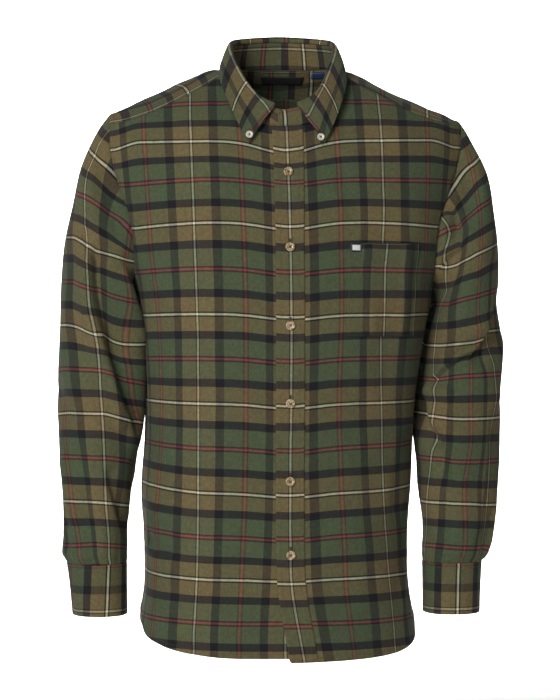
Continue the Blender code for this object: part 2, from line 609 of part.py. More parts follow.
def stand_tops(line):
    """The stand's top edge, above each point of the neckline."""
    share, _ = neck_shares(line)
    inside = np.clip(share, COLLAR[0, 0], 1)
    height = look(COLLAR, COLLAR_COLUMNS, "stand", inside)
    lean = look(COLLAR, COLLAR_COLUMNS, "lean_in", inside)
    ends = smooth((COLLAR[0, 0] - share) / STAND_END_SHARE)
    height = height * (1 - ends) + STAND_END_HEIGHT * ends
    return line + np.array([0, 0, 1.0]) * height[:, None] - outward(line) * lean[:, None]


def lap_out(line):
    """How far out the stand lies: its upper end laps over the under one."""
    share, side = neck_shares(line)
    return np.where(side > 0, STAND_LAP * (1 - smooth((share - STAND_LAP_FROM) / STAND_LAP_OVER)), 0.0)


def stand_grid(line):
    top = stand_tops(line)
    out = outward(line) * lap_out(line)[:, None]
    bulge = outward(line) * STAND_BULGE
    rows = []
    for s in np.linspace(0, 1, 4):
        rows.append(line * (1 - s) + top * s + out + bulge * np.sin(np.pi * s))
    return np.array(rows)


def leaf_grid(line):
    """Rows from the stand's top over the roll to the leaf's edge."""
    top = stand_tops(line) + outward(line) * lap_out(line)[:, None]
    share, side = neck_shares(line)
    first = COLLAR[0, 0]
    right = np.interp(first, share[side < 0], np.arange(len(share))[side < 0])
    left = np.interp(first, share[side > 0][::-1], np.arange(len(share))[side > 0][::-1])
    place = np.linspace(right, left, LEAF_CELLS + 1)
    index = np.arange(len(line))

    def at(values):
        return np.stack([np.interp(place, index, values[:, k]) for k in range(values.shape[1])], axis=1)

    base = at(top)
    out = unit(at(outward(line)))
    middle = LEAF_CELLS // 2
    leaf_side = np.where(np.arange(LEAF_CELLS + 1) < middle, -1, 1)
    leaf_share = np.clip(np.interp(place, index, share), first, 1)
    leaf_share[middle] = 1.0
    rise = look(COLLAR, COLLAR_COLUMNS, "rise", leaf_share)[:, None]
    edge = np.stack([look(COLLAR, COLLAR_COLUMNS, "edge_" + name, leaf_share) for name in "xyz"], axis=1)
    edge[:, 0] *= leaf_side
    up = np.array([0, 0, 1.0])
    base = base + up * LEAF_RISE
    inner = base + up * rise
    crest = inner + (out + up) * ROLL_RADIUS
    outer = inner + out * 2 * ROLL_RADIUS
    fall = edge - outer
    bow = out * LEAF_BOW
    rows = [base, inner, crest, outer]
    rows += [outer + fall * s + bow * np.sin(np.pi * s) for s in (0.33, 0.67)]
    rows.append(edge)
    return np.array(rows)


# ================================================================ from grids to closed walls
def normals(grid, wrap=False):
    """Unit normals of a grid, from its neighbours."""
    if wrap:
        across = np.roll(grid, -1, axis=1) - np.roll(grid, 1, axis=1)
    else:
        across = np.gradient(grid, axis=1)
    return unit(np.cross(across, np.gradient(grid, axis=0)))


def outside(grid, normal, centre):
    """The same normals, turned away from a centre line."""
    towards = ((grid - centre) * normal).sum()
    return normal if towards > 0 else -normal


def blended(*edges):
    """The shared normals along a seam, which mitre its two walls."""
    return unit(sum(edges))


def pull_in(grid, wrap=False, distance=SEAM_PULL):
    """The grid with its edges drawn back from their seams."""
    done = grid.copy()
    done[0] += unit(grid[1] - grid[0]) * distance
    done[-1] += unit(grid[-2] - grid[-1]) * distance
    if not wrap:
        done[:, 0] += unit(grid[:, 1] - grid[:, 0]) * distance
        done[:, -1] += unit(grid[:, -2] - grid[:, -1]) * distance
    return done


def wall(name, grid, normal, thickness, colour, wrap=False):
    """A closed wall, half its thickness to either side of a grid of points."""
    rows, count = grid.shape[:2]
    outer = (grid + normal * thickness / 2).reshape(-1, 3)
    inner = (grid - normal * thickness / 2).reshape(-1, 3)
    points = np.concatenate([outer, inner])
    shift = rows * count
    faces = []
    middle_row, middle_column = rows // 2, min(count // 2, count - 2)
    a = grid[middle_row - 1, middle_column]
    turn = np.cross(grid[middle_row - 1, middle_column + 1] - a, grid[middle_row, middle_column] - a)
    right_way = np.dot(turn, normal[middle_row - 1, middle_column]) > 0

    def face(*corners):
        faces.append(corners if right_way else corners[::-1])

    columns = count if wrap else count - 1
    for r in range(rows - 1):
        for c in range(columns):
            a, b = r * count + c, r * count + (c + 1) % count
            d, e = a + count, b + count
            face(a, b, e)
            face(a, e, d)
            face(shift + a, shift + e, shift + b)
            face(shift + a, shift + d, shift + e)
    for c in range(columns):
        a, b = c, (c + 1) % count
        face(a, shift + a, shift + b)
        face(a, shift + b, b)
        a, b = (rows - 1) * count + c, (rows - 1) * count + (c + 1) % count
        face(a, b, shift + b)
        face(a, shift + b, shift + a)
    if not wrap:
        for r in range(rows - 1):
            a, b = r * count, (r + 1) * count
            face(a, b, shift + b)
            face(a, shift + b, shift + a)
            a, b = a + count - 1, b + count - 1
            face(a, shift + a, shift + b)
            face(a, shift + b, b)
    return add_mesh(name, points, faces, colour, CLOTH_ROUGHNESS)


def at_places(grid, rows, columns):
    """Points of a grid at fractional rows and columns, on its own straight lines."""
    result = np.zeros((len(rows), len(columns), grid.shape[2]))
    for i, r in enumerate(rows):
        r0 = int(np.clip(np.floor(r), 0, grid.shape[0] - 2))
        for j, c in enumerate(columns):
            c0 = int(np.clip(np.floor(c), 0, grid.shape[1] - 2))
            v, u = r - r0, c - c0
            result[i, j] = ((1 - v) * ((1 - u) * grid[r0, c0] + u * grid[r0, c0 + 1])
                            + v * ((1 - u) * grid[r0 + 1, c0] + u * grid[r0 + 1, c0 + 1]))
    return result


def patch(name, grid, normal, rows, columns, offset, thickness, colour):
    """A flat piece that lies on a panel, made from the panel's points."""
    points = at_places(grid, rows, columns)
    out = unit(at_places(normal, rows, columns))
    lies = points + out * offset
    wall(name, lies, out, thickness, colour)
    return lies, out


def button(name, place, out, sizes, colour):
    """A turned button with a raised rim, on its back at a place on the cloth."""
    out = unit(out)
    side = unit(np.cross(out, [0.0, 0.0, 1.0]))
    up = np.cross(side, out)
    radius, thick = sizes["radius"], sizes["thick"]
    points = []
    start = np.asarray(place) + out * sizes["lift"]
    for share, height in BUTTON_PROFILE:
        for k in range(BUTTON_SIDES):
            turn = 2 * np.pi * k / BUTTON_SIDES
            spoke = np.cos(turn) * side + np.sin(turn) * up
            points.append(start + radius * share * spoke + out * thick * height)
    faces = []
    for p in range(len(BUTTON_PROFILE) - 1):
        for k in range(BUTTON_SIDES):
            a, b = p * BUTTON_SIDES + k, p * BUTTON_SIDES + (k + 1) % BUTTON_SIDES
            faces.append((a, b, b + BUTTON_SIDES, a + BUTTON_SIDES))
    faces.append(tuple(range(BUTTON_SIDES))[::-1])
    faces.append(tuple(range((len(BUTTON_PROFILE) - 1) * BUTTON_SIDES, len(BUTTON_PROFILE) * BUTTON_SIDES)))
    if np.dot(np.cross(side, up), out) < 0:
        faces = [f[::-1] for f in faces]
    return add_mesh(name, points, faces, colour, BUTTON_ROUGHNESS)


def button_on(name, grid, normal, row, c, wall_thickness, sizes, colour):
    """A button on the outside of a wall, at a fractional row and column of its grid."""
    out = unit(at_places(normal, (row,), (c,))[0, 0])
    button(name, at_places(grid, (row,), (c,))[0, 0] + out * wall_thickness / 2, out, sizes, colour)


def add_mesh(name, points, faces, colour, roughness):
    mesh = bpy.data.meshes.new(name)
    mesh.from_pydata([tuple(map(float, p)) for p in points], [], [tuple(int(i) for i in f) for f in faces])
    mesh.validate()
    mesh.shade_smooth()
    mesh.set_sharp_from_angle(angle=np.radians(SHARP_ANGLE))
    thing = bpy.data.objects.new(name, mesh)
    bpy.context.scene.collection.objects.link(thing)
    material = bpy.data.materials.new(name)
    material.use_nodes = True
    shader = material.node_tree.nodes["Principled BSDF"]
    shader.inputs["Base Color"].default_value = (*colour, 1.0)
    shader.inputs["Roughness"].default_value = roughness
    mesh.materials.append(material)
    return thing


# ================================================================ the shirt
def lift_near_front(grid):
    """How far the upper front is lifted off the under one, column by column."""
    amount = 1.6 * LAYER_GAP + CLOTH
    shares = np.zeros(grid.shape[1])
    shares[:len(LIFT_SHARES)] = LIFT_SHARES
    return np.broadcast_to(amount * shares, grid.shape[:2])[:, :, None]


def build_body():
    """Fronts, back and yoke with the normals that their walls share along the seams."""
    right, left = front_grid(-1), front_grid(1)
    back = back_grid(right, left)
    yoke = yoke_grid(right, left, back)
    axis = np.array([0.0, CENTRE_Y, 0.0])
    level = [1.0, 1.0, 0.0]
    n_right = outside(right * level, normals(right), axis)
    n_left = outside(left * level, normals(left), axis)
    n_back = outside(back * level, normals(back), axis)
    n_yoke = normals(yoke)
    if n_yoke[2, 2, 2] < 0:
        n_yoke = -n_yoke
    sides = slice(0, ARMPIT_ROW + 1)
    n_right[sides, -1] = n_back[sides, 0] = blended(n_right[sides, -1], n_back[sides, 0])
    n_left[sides, -1] = n_back[sides, -1] = blended(n_left[sides, -1], n_back[sides, -1])
    n_back[-1] = n_yoke[-1] = blended(n_back[-1], n_yoke[-1])
    cells = right.shape[1] - NECK_CORNER
    right_seam = blended(n_right[-1, NECK_CORNER:], n_yoke[0, :cells][::-1])
    left_seam = blended(n_left[-1, NECK_CORNER:], n_yoke[0, -cells:])
    n_right[-1, NECK_CORNER:], n_yoke[0, :cells] = right_seam, right_seam[::-1]
    n_left[-1, NECK_CORNER:], n_yoke[0, -cells:] = left_seam, left_seam
    return right, left, back, yoke, n_right, n_left, n_back, n_yoke


def build_sleeve(name, side, front, back_column, yoke_column):
    loop = armhole_loop(front, back_column, yoke_column)
    grid, angle = sleeve_grid(loop, side)
    n = normals(grid, wrap=True)
    middle = grid[-4]
    if ((middle - middle.mean(axis=0)) * n[-4]).sum() < 0:
        n = -n
    drawn = pull_in(grid, wrap=True)
    drawn[0] += unit(grid[1] - grid[0]) * (ARMHOLE_PULL * (1.0 - 0.5 * np.cos(angle)))[:, None]
    wall("sleeve_" + name, drawn, n, CLOTH, FLANNEL, wrap=True)
    return grid, n


def build_cuff(name, side):
    grid = cuff_grid(side)
    n = normals(grid)
    centre = grid.mean(axis=(0, 1))
    n = outside(grid * [1, 1, 0], n, centre * [1, 1, 0])
    wall("cuff_" + name, pull_in(grid), n, CUFF_WALL, COLLAR_CLOTH)
    button_on("cuff_button_" + name, grid, n, 1.5, CUFF_CELLS - 1.0, CUFF_WALL, BUTTON, HORN)


def build_sleeve_placket(name, grid, n):
    """The strip over the slit, on the outer back of the forearm."""
    rows, columns = SLEEVE_PLACKET_ROWS, SLEEVE_PLACKET_COLUMNS
    patch("sleeve_placket_" + name, grid, n, rows, columns, ON_CLOTH, TRIM_WALL, FLANNEL)


def build():
    for old in list(bpy.data.objects):
        bpy.data.objects.remove(old, do_unlink=True)
    right, left, back, yoke, n_right, n_left, n_back, n_yoke = build_body()
    left = left + n_left * lift_near_front(left)

    wall("front_right", pull_in(right), n_right, CLOTH, FLANNEL)
    wall("front_left", pull_in(left), n_left, CLOTH, FLANNEL)
    wall("back", pull_in(back), n_back, CLOTH, FLANNEL)
    wall("yoke", pull_in(yoke), n_yoke, YOKE_WALL, FLANNEL)

    columns = (1 - PLACKET_HALF / OVERLAP, 0, 1, 1 + PLACKET_HALF / FRONT[2, 0])
    rows = (0.02, *range(1, PANEL_ROWS - 1), PANEL_ROWS - 1.02)
    placket, n_placket = patch("placket", left, n_left, rows, columns, ON_CLOTH, TRIM_WALL, COLLAR_CLOTH)
    patch("pocket", left, n_left, POCKET_ROWS, POCKET_COLUMNS, ON_CLOTH, TRIM_WALL, FLANNEL)
    patch("pocket_tab", left, n_left, POCKET_TAB_ROWS, POCKET_TAB_COLUMNS, ON_TRIM, LABEL_WALL, BLUE_TAPE)

    for name, side, front, edge in (("right", -1, right, 0), ("left", 1, left, -1)):
        grid, n = build_sleeve(name, side, front, back[:, edge], yoke[:, edge])
        build_sleeve_placket(name, grid, n)
        build_cuff(name, side)

    line = stand_line(right, left, yoke)
    stand = stand_grid(line)
    n_stand = normals(stand)
    if (n_stand[1, len(line) // 2, 1]) < 0:
        n_stand = -n_stand
    wall("collar_stand", pull_in(stand, distance=STAND_PULL), n_stand, COLLAR_WALL, COLLAR_CLOTH)
    leaf = leaf_grid(line)
    n_leaf = normals(leaf)
    if n_leaf[-1, LEAF_CELLS // 2, 1] < 0:
        n_leaf = -n_leaf
    wall("collar_leaf", leaf, n_leaf, COLLAR_WALL, COLLAR_CLOTH)

    middle = (yoke.shape[1] - 1) / 2
    columns = middle + np.array(NECK_LABEL_COLUMNS)
    patch("neck_label", yoke, n_yoke, NECK_LABEL_ROWS, columns, IN_YOKE, LABEL_WALL, LABEL)
    columns = middle + np.array(SIZE_TAB_COLUMNS)
    patch("size_tab", yoke, n_yoke, SIZE_TAB_ROWS, columns, IN_YOKE, LABEL_WALL, BLUE_TAPE)

    heights = placket[:, 1, 2]
    for number, z in enumerate(FRONT_BUTTON_Z, start=1):
        row = np.interp(z, heights, np.arange(len(heights)))
        button_on(f"front_button_{number}", placket, n_placket, row, 2.0, TRIM_WALL, BUTTON, HORN)
    row = COLLAR_BUTTON_ROW
    for name, c in (("right", COLLAR_BUTTON_COLUMN), ("left", LEAF_CELLS - COLLAR_BUTTON_COLUMN)):
        button_on("collar_button_" + name, leaf, n_leaf, row, c, COLLAR_WALL, SMALL_BUTTON, PEARL)


build()
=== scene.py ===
"""The looks of a men's flannel shirt, filled out as if worn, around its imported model.

Metres, +Z up, +X to the wearer's left, +Y to the wearer's back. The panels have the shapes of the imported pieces,
drawn on finer grids, with their folds. Each point of the cloth also has a place in the weave: how far it is
across the warp's stripes and across the weft's.
"""
from functools import lru_cache

import bpy
import numpy as np
from mathutils import Matrix, Vector


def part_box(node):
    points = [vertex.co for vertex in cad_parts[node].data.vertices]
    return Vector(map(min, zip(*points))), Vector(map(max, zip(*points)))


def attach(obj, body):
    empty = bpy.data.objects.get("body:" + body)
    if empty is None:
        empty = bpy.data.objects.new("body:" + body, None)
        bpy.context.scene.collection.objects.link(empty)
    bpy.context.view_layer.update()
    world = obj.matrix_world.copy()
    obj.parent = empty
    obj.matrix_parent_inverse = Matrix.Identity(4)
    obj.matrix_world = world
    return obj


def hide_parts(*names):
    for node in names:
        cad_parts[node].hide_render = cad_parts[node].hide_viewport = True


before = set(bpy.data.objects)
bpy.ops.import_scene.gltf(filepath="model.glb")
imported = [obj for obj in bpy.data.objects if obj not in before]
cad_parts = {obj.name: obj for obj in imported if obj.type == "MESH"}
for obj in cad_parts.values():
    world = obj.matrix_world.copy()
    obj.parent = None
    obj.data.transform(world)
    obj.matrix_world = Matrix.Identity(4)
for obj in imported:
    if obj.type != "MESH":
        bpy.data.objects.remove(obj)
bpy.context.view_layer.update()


# ================================================================ small mathematics
def smooth(t):
    t = np.clip(t, 0.0, 1.0)
    return t * t * (3 - 2 * t)


def unit(v):
    v = np.asarray(v, float)
    return v / np.maximum(np.linalg.norm(v, axis=-1, keepdims=True), 1e-12)


def lengths(points):
    """How far along a run of points each one is."""
    return np.concatenate([[0.0], np.cumsum(np.linalg.norm(np.diff(points, axis=0), axis=1))])


def along(points, way, at):
    """Points of a run, at given ways along it."""
    return np.stack([np.interp(at, way, points[:, k]) for k in range(3)], axis=-1)


def hermite(start, start_way, end, end_way, t):
    """Points from start to end that leave and arrive along the given ways; t runs from 0 to 1."""
    return ((1 + 2 * t) * (1 - t) ** 2 * start + t * (1 - t) ** 2 * start_way
            + t * t * (3 - 2 * t) * end + t * t * (t - 1) * end_way)


def curve(x, xs, ys):
    """A smooth line through (xs, ys) that never overshoots them; xs in either order."""
    xs, ys = np.asarray(xs, float), np.asarray(ys, float)
    if xs[0] > xs[-1]:
        xs, ys = xs[::-1], ys[::-1]
    step = np.diff(xs)
    rise = np.diff(ys) / step
    product = rise[:-1] * rise[1:]
    inner = np.where(product > 0, 2 * product / np.where(product > 0, rise[:-1] + rise[1:], 1.0), 0.0)
    slope = np.concatenate([rise[:1], inner, rise[-1:]])
    x = np.clip(x, xs[0], xs[-1])
    k = np.clip(np.searchsorted(xs, x, side="right") - 1, 0, len(xs) - 2)
    return hermite(ys[k], step[k] * slope[k], ys[k + 1], step[k] * slope[k + 1], (x - xs[k]) / step[k])


def spline(values, places):
    """Smooth values along the first axis, at fractional places between the given ones."""
    values, places = np.asarray(values, float), np.asarray(places, float)
    padded = np.concatenate([2 * values[:1] - values[1:2], values, 2 * values[-1:] - values[-2:-1]])
    k = np.clip(np.floor(places).astype(int), 0, len(values) - 2)
    t = (places - k).reshape((-1,) + (1,) * (values.ndim - 1))
    before, here, there, after = (padded[k + i] for i in range(4))
    return hermite(here, (there - before) / 2, there, (after - here) / 2, t)


def refined(grid, rows, columns):
    """A grid's values at fractional rows and columns."""
    return spline(spline(grid, rows).swapaxes(0, 1), columns).swapaxes(0, 1)


def normals(grid, out):
    """Unit normals of a grid, from its neighbours, on the side that mostly faces out."""
    normal = unit(np.cross(np.gradient(grid, axis=1), np.gradient(grid, axis=0)))
    return normal if (normal * out).sum() > 0 else -normal


def ways_along(points, axis):
    """How far along its row (axis 1) or column (axis 0) each point of a grid is."""
    steps = np.linalg.norm(np.diff(points, axis=axis), axis=2)
    start = np.zeros_like(steps[:, :1] if axis == 1 else steps[:1])
    return np.concatenate([start, np.cumsum(steps, axis=axis)], axis=axis)


def ripple(a, b, seed):
    """A soft uneven surface between -1 and 1, from a few crossing waves. a and b are in wavelengths."""
    total = np.zeros(np.broadcast(a, b).shape)
    for k in range(7):
        turn, scale = seed * 1.7 + k * 2.4, 0.6 + 0.23 * k
        total += np.sin(2 * np.pi * scale * (a * np.cos(turn) + b * np.sin(turn)) + seed * 3.1 + k * k) / 3.2
    return total


def hand(side):
    return "left" if side > 0 else "right"


class Table:
    """Rows of numbers with named columns. A call reads one column, smoothly, at x of the first column."""

    def __init__(self, names, rows):
        self.rows = np.array(rows, float)
        self.columns = dict(zip(names.split(), self.rows.T))

    def __getitem__(self, name):
        return self.columns[name]

    def __call__(self, name, x):
        return curve(x, self.rows[:, 0], self.columns[name])


# ================================================================ sizes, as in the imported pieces
CLOTH, YOKE_WALL, COLLAR_WALL, CUFF_WALL, TRIM_WALL, LABEL_WALL = 0.0012, 0.0018, 0.0021, 0.0023, 0.0012, 0.001
LAYER_GAP = 0.0003
ON_CLOTH = LAYER_GAP + (CLOTH + TRIM_WALL) / 2               # from a panel's middle to that of the trim on it
ON_TRIM = ON_CLOTH + LAYER_GAP + (TRIM_WALL + LABEL_WALL) / 2
IN_YOKE = -(2 * LAYER_GAP + (YOKE_WALL + LABEL_WALL) / 2)

OVERLAP = 0.016        # either front runs this far past the centre front
PLACKET_HALF = 0.0175
FLARE_TOP, FLARE_BOTTOM, FLARE = -0.62, -0.735, 0.016   # the upper front swings open below the last button
FLARE_FULL, FLARE_FADE = 0.02, 0.15
CENTRE_Y = 0.004

TORSO = Table("z half_width front back front_square back_square centre_x front_x", [
    (-0.76, 0.179, 0.126, 0.13, 2.3, 2.3, -0.006, 0.005),
    (-0.7, 0.1765, 0.125, 0.128, 2.3, 2.3, -0.006, 0.0045),
    (-0.655, 0.17, 0.124, 0.126, 2.35, 2.3, -0.007, 0.0042),
    (-0.625, 0.1665, 0.123, 0.124, 2.4, 2.3, -0.007, 0.004),
    (-0.59, 0.168, 0.123, 0.121, 2.4, 2.3, -0.008, 0.0038),
    (-0.54, 0.172, 0.124, 0.118, 2.35, 2.3, -0.008, 0.0036),
    (-0.49, 0.171, 0.125, 0.116, 2.35, 2.3, -0.005, 0.0035),
    (-0.43, 0.1715, 0.127, 0.118, 2.35, 2.3, -0.003, 0.0035),
    (-0.36, 0.177, 0.13, 0.126, 2.4, 2.35, 0, 0.0035),
    (-0.287, 0.188, 0.131, 0.134, 2.45, 2.4, 0.002, 0.0035),
    (-0.24, 0.201, 0.128, 0.137, 2.4, 2.35, 0.001, 0.0032),
    (-0.19, 0.213, 0.123, 0.137, 2.3, 2.25, 0, 0.003),
    (-0.14, 0.226, 0.115, 0.131, 2.2, 2.15, 0, 0.002),
    (-0.1, 0.237, 0.1065, 0.121, 2.1, 2.1, 0, 0.001),
    (-0.072, 0.2395, 0.0955, 0.108, 2.05, 2.05, 0, 0),
    (-0.045, 0.213, 0.072, 0.094, 2, 2, 0, 0),
    (-0.02, 0.164, 0.045, 0.078, 2, 2, 0, 0),
    (-0.003, 0.126, 0.025, 0.066, 2, 2, 0, 0),
    (0.016, 0.095, 0.015, 0.055, 2, 2, 0, 0),
])
RIDGE = Table("x right left", [     # height of the top of either shoulder
    (0.07, 0.01, 0.01), (0.085, 0.006, 0.005), (0.11, -0.002, -0.0055), (0.14, -0.014, -0.0215),
    (0.163, -0.0245, -0.0312), (0.184, -0.035, -0.0395), (0.204, -0.0455, -0.051), (0.219, -0.0555, -0.061),
    (0.232, -0.0655, -0.069),
])
HEM = Table("share front_right front_left back", [     # by share of the way from centre to side seam
    (0, -0.729, -0.734, -0.74),
    (0.3, -0.729, -0.7325, -0.738),
    (0.55, -0.725, -0.73, -0.732),
    (0.72, -0.7185, -0.7245, -0.722),
    (0.86, -0.705, -0.714, -0.706),
    (1, -0.68, -0.692, 0),
])                                  # the back meets each front at its end
ARMHOLE = Table("z right left", [   # how far out the front armhole seam is
    (-0.287, 0.186, 0.19), (-0.252, 0.188, 0.1905), (-0.198, 0.1915, 0.195), (-0.145, 0.2065, 0.2115),
    (-0.102, 0.219, 0.225), (-0.066, 0.219, 0.227),
])
ARMPIT_Z, SHOULDER_SEAM_Z = -0.2875, -0.066
BACK_ARMHOLE_X, BACK_ARMHOLE_IN = 0.223, 0.004
BACK_SEAM = Table("share z", [
    (0, -0.022), (0.25, -0.027), (0.5, -0.041), (0.75, -0.061), (1, -0.087),
])
FRONT = Table("u_low u_top z_top", [   # each column's way from the centre front, low down and at its top
    (-0.016, -0.016, -0.0722), (0, 0, -0.0725), (0.018, 0.021, -0.07), (0.034, 0.039, -0.0625),
    (0.05, 0.055, -0.047), (0.066, 0.068, -0.025), (0.092, 0.0755, -0.003), (0.118, 0.105, -0.019),
    (0.144, 0.135, -0.036), (0.17, 0.166, -0.0505), (0.197, 0.199, -0.061),
])
LAST_COLUMN_EVEN = 0.58
HALF_FRONT = 0.235
NECK_CORNER = 6                    # the column where neck, yoke and front meet
ROW_LEVELS = (-0.645, -0.585, -0.525, -0.465, -0.41, -0.37, -0.332, ARMPIT_Z, -0.252, -0.217)
TOP_SHARES = (0.2, 0.4, 0.6, 0.8, 1.0)
PANEL_ROWS = 1 + len(ROW_LEVELS) + len(TOP_SHARES)
ARMPIT_ROW, BACK_CELLS, YOKE_CELLS, YOKE_NECK_CELLS = 8, 20, 4, 10
NECK_BACK = Table("share x y z", [
    (0, 0.0735, -0.015, -0.003), (0.2, 0.0715, 0.002, 0.0065), (0.4, 0.0635, 0.021, 0.0095),
    (0.6, 0.049, 0.037, 0.0105), (0.8, 0.0265, 0.048, 0.011), (1, 0, 0.052, 0.0112),
])
NECK_CORNER_WAY, NECK_CORNER_DROP, NECK_BACK_WAY = (0.25, 1.0, 0.25), 0.55, (0.0, 0.75, -0.66)
NECK_CORNER_TURN = 2.5
SHOULDER_WAY_BACK = 0.55
NECK_PULL, SHOULDER_PULL_LEAST, SHOULDER_PULL_MOST, LEAST_LIFT = 0.9, 0.6, 1.9, 0.05

SLEEVE = Table("z right_outer right_inner left_outer left_inner front back", [
    (-0.2, 0.2735, 0.19, 0.2725, 0.19, 0.074, 0.07),
    (-0.24, 0.2785, 0.1895, 0.276, 0.192, 0.074, 0.07),
    (-0.285, 0.282, 0.1895, 0.277, 0.1935, 0.072, 0.07),
    (-0.33, 0.284, 0.185, 0.279, 0.1865, 0.069, 0.069),
    (-0.38, 0.285, 0.18, 0.279, 0.1785, 0.065, 0.067),
    (-0.427, 0.285, 0.1795, 0.279, 0.1725, 0.063, 0.064),
    (-0.466, 0.2835, 0.183, 0.279, 0.1705, 0.063, 0.058),
    (-0.505, 0.2815, 0.1895, 0.2765, 0.1735, 0.062, 0.051),
    (-0.545, 0.279, 0.196, 0.2745, 0.1765, 0.062, 0.041),
    (-0.585, 0.278, 0.1975, 0.267, 0.1785, 0.063, 0.031),
    (-0.606, 0.2795, 0.1985, 0.261, 0.179, 0.063, 0.024),
    (-0.619, 0.2735, 0.199, 0.2535, 0.1795, 0.06, 0.018),
    (-0.7, 0.2645, 0.1985, 0.2495, 0.18, 0.062, 0.012),
])
SLEEVE_SQUARE = 2.15
SLEEVE_TOP_ROW, SLEEVE_END_ROW = -0.352, -0.619
HEAD_OUTER_Z, HEAD_INNER_Z, HEAD_STEP = -0.222, -0.325, 0.01
HEAD_OUT, HEAD_FORWARD, HEAD_DOWN, HEAD_OUT_LESS, HEAD_DOWN_MORE, HEAD_STIFF = 0.72, 0.4, 0.45, 0.08, 0.35, 1.1
TILT, TILT_END_Z = 0.28, -0.45
CUFF_TOP, CUFF_BOTTOM = -0.6195, -0.684
CUFF_LAP_ANGLE, CUFF_LAP_START = 42.0, 248.0
CUFF_RISE_FROM, CUFF_RISE_OVER = 0.72, 0.16

COLLAR = Table("share stand lean_in rise edge_x edge_y edge_z", [
    (0.055, 0.0225, 0.0065, 0.0015, 0.047, -0.105, -0.093),
    (0.2, 0.0265, 0.0095, 0.002, 0.057, -0.0995, -0.074),
    (0.34, 0.0275, 0.012, 0.0022, 0.0665, -0.086, -0.051),
    (0.46, 0.028, 0.0125, 0.0025, 0.074, -0.064, -0.03),
    (0.58, 0.0285, 0.0105, 0.003, 0.08, -0.032, -0.007),
    (0.72, 0.03, 0.008, 0.0035, 0.0785, 0.014, 0.011),
    (0.86, 0.033, 0.007, 0.0042, 0.052, 0.056, 0.008),
    (1, 0.0347, 0.004, 0.0045, 0, 0.067, 0.008),
])
FIRST_SHARE = COLLAR["share"][0]
STAND_END_HEIGHT, STAND_END_SHARE, STAND_BULGE = 0.0175, 0.14, 0.0012
STAND_LAP, STAND_LAP_FROM, STAND_LAP_OVER = 0.0028, 0.1, 0.35
UPPER_END = 0.4
STAND_CELLS, LEAF_CELLS = 3, 22
LEAF_RISE, ROLL_RADIUS, LEAF_BOW, LEAF_FALL_SHARES = 0.0005, 0.0027, 0.0018, (0.33, 0.67)

BUTTON_RADIUS, BUTTON_THICK = 0.00575, 0.0028
SMALL_BUTTON_RADIUS, SMALL_BUTTON_THICK = 0.0046, 0.0024
LIFT_SHARES = (1, 1, 1, 0.45, 0.08, 0)   # of the upper front's lift off the under one, column by column

# ================================================================ how fine the grids are
CELLS_PER_COLUMN = 8          # of a front, the back and the yoke
ROWS_BELOW_ARMPIT, ROWS_ABOVE_ARMPIT, YOKE_ROWS = 120, 70, 36
HEAD_ROWS, UPPER_ROWS, TUBE_ROWS = 42, 20, 128      # the upper ones lie between the sleeve's head and its level rings
CUFF_COLUMNS, CUFF_ROWS = 120, 16
STAND_ROWS, LEAF_ROWS = 12, 34
PLACKET_ROWS, PLACKET_COLUMNS, POCKET_ROWS, POCKET_COLUMNS = 230, 17, 46, 42
RING_STEPS = 361
EPSILON = 1e-9

# ================================================================ folds
# Each fold runs from a to b and swings out sideways by "bend" at its middle. On the body "across" is metres from
# the centre line, on a sleeve it is degrees from the outer side towards the front. A trough has a depth below
# zero. "lean" makes one flank steeper. "tuck" is how much cloth the fold swallows: the check jumps by that much.
# columns: across_a, z_a, across_b, z_b, bend, width, depth, lean, tuck
FRONT_FOLDS = np.array([
    (-0.15, -0.2, -0.118, -0.35, 0.01, 0.026, -0.0015, 0, 0),
    (-0.085, -0.42, -0.105, -0.64, -0.006, 0.03, 0.0022, 0, 0),
    (0.12, -0.19, 0.128, -0.4, 0.004, 0.02, -0.0022, 0, 0),
    (0.09, -0.46, 0.1, -0.68, 0.006, 0.03, 0.0022, 0, 0),
    (-0.17, -0.56, -0.15, -0.61, 0, 0.016, -0.003, 0, 0),
    (0.152, -0.21, 0.142, -0.35, -0.003, 0.011, 0.002, 0.3, 0),
    (0.17, -0.235, 0.16, -0.335, 0.002, 0.008, -0.0018, -0.3, 0),
    (0.098, -0.225, 0.106, -0.325, 0.002, 0.009, 0.0016, 0.3, 0),
    (-0.208, -0.588, -0.158, -0.603, 0.004, 0.01, -0.0045, 0.4, 0.003),
    (-0.205, -0.52, -0.17, -0.56, 0.003, 0.014, 0.0022, 0, 0),
    (-0.052, -0.11, -0.066, -0.19, 0.003, 0.014, -0.0012, 0, 0),
    (0.06, -0.105, 0.078, -0.2, -0.003, 0.014, -0.0014, 0, 0),
    (0.18, -0.44, 0.15, -0.56, 0.005, 0.018, -0.0026, 0.3, 0),
    (0.19, -0.6, 0.16, -0.68, 0.003, 0.014, 0.0022, 0, 0),
    (-0.15, -0.64, -0.14, -0.72, 0.002, 0.014, -0.0018, 0, 0),
])
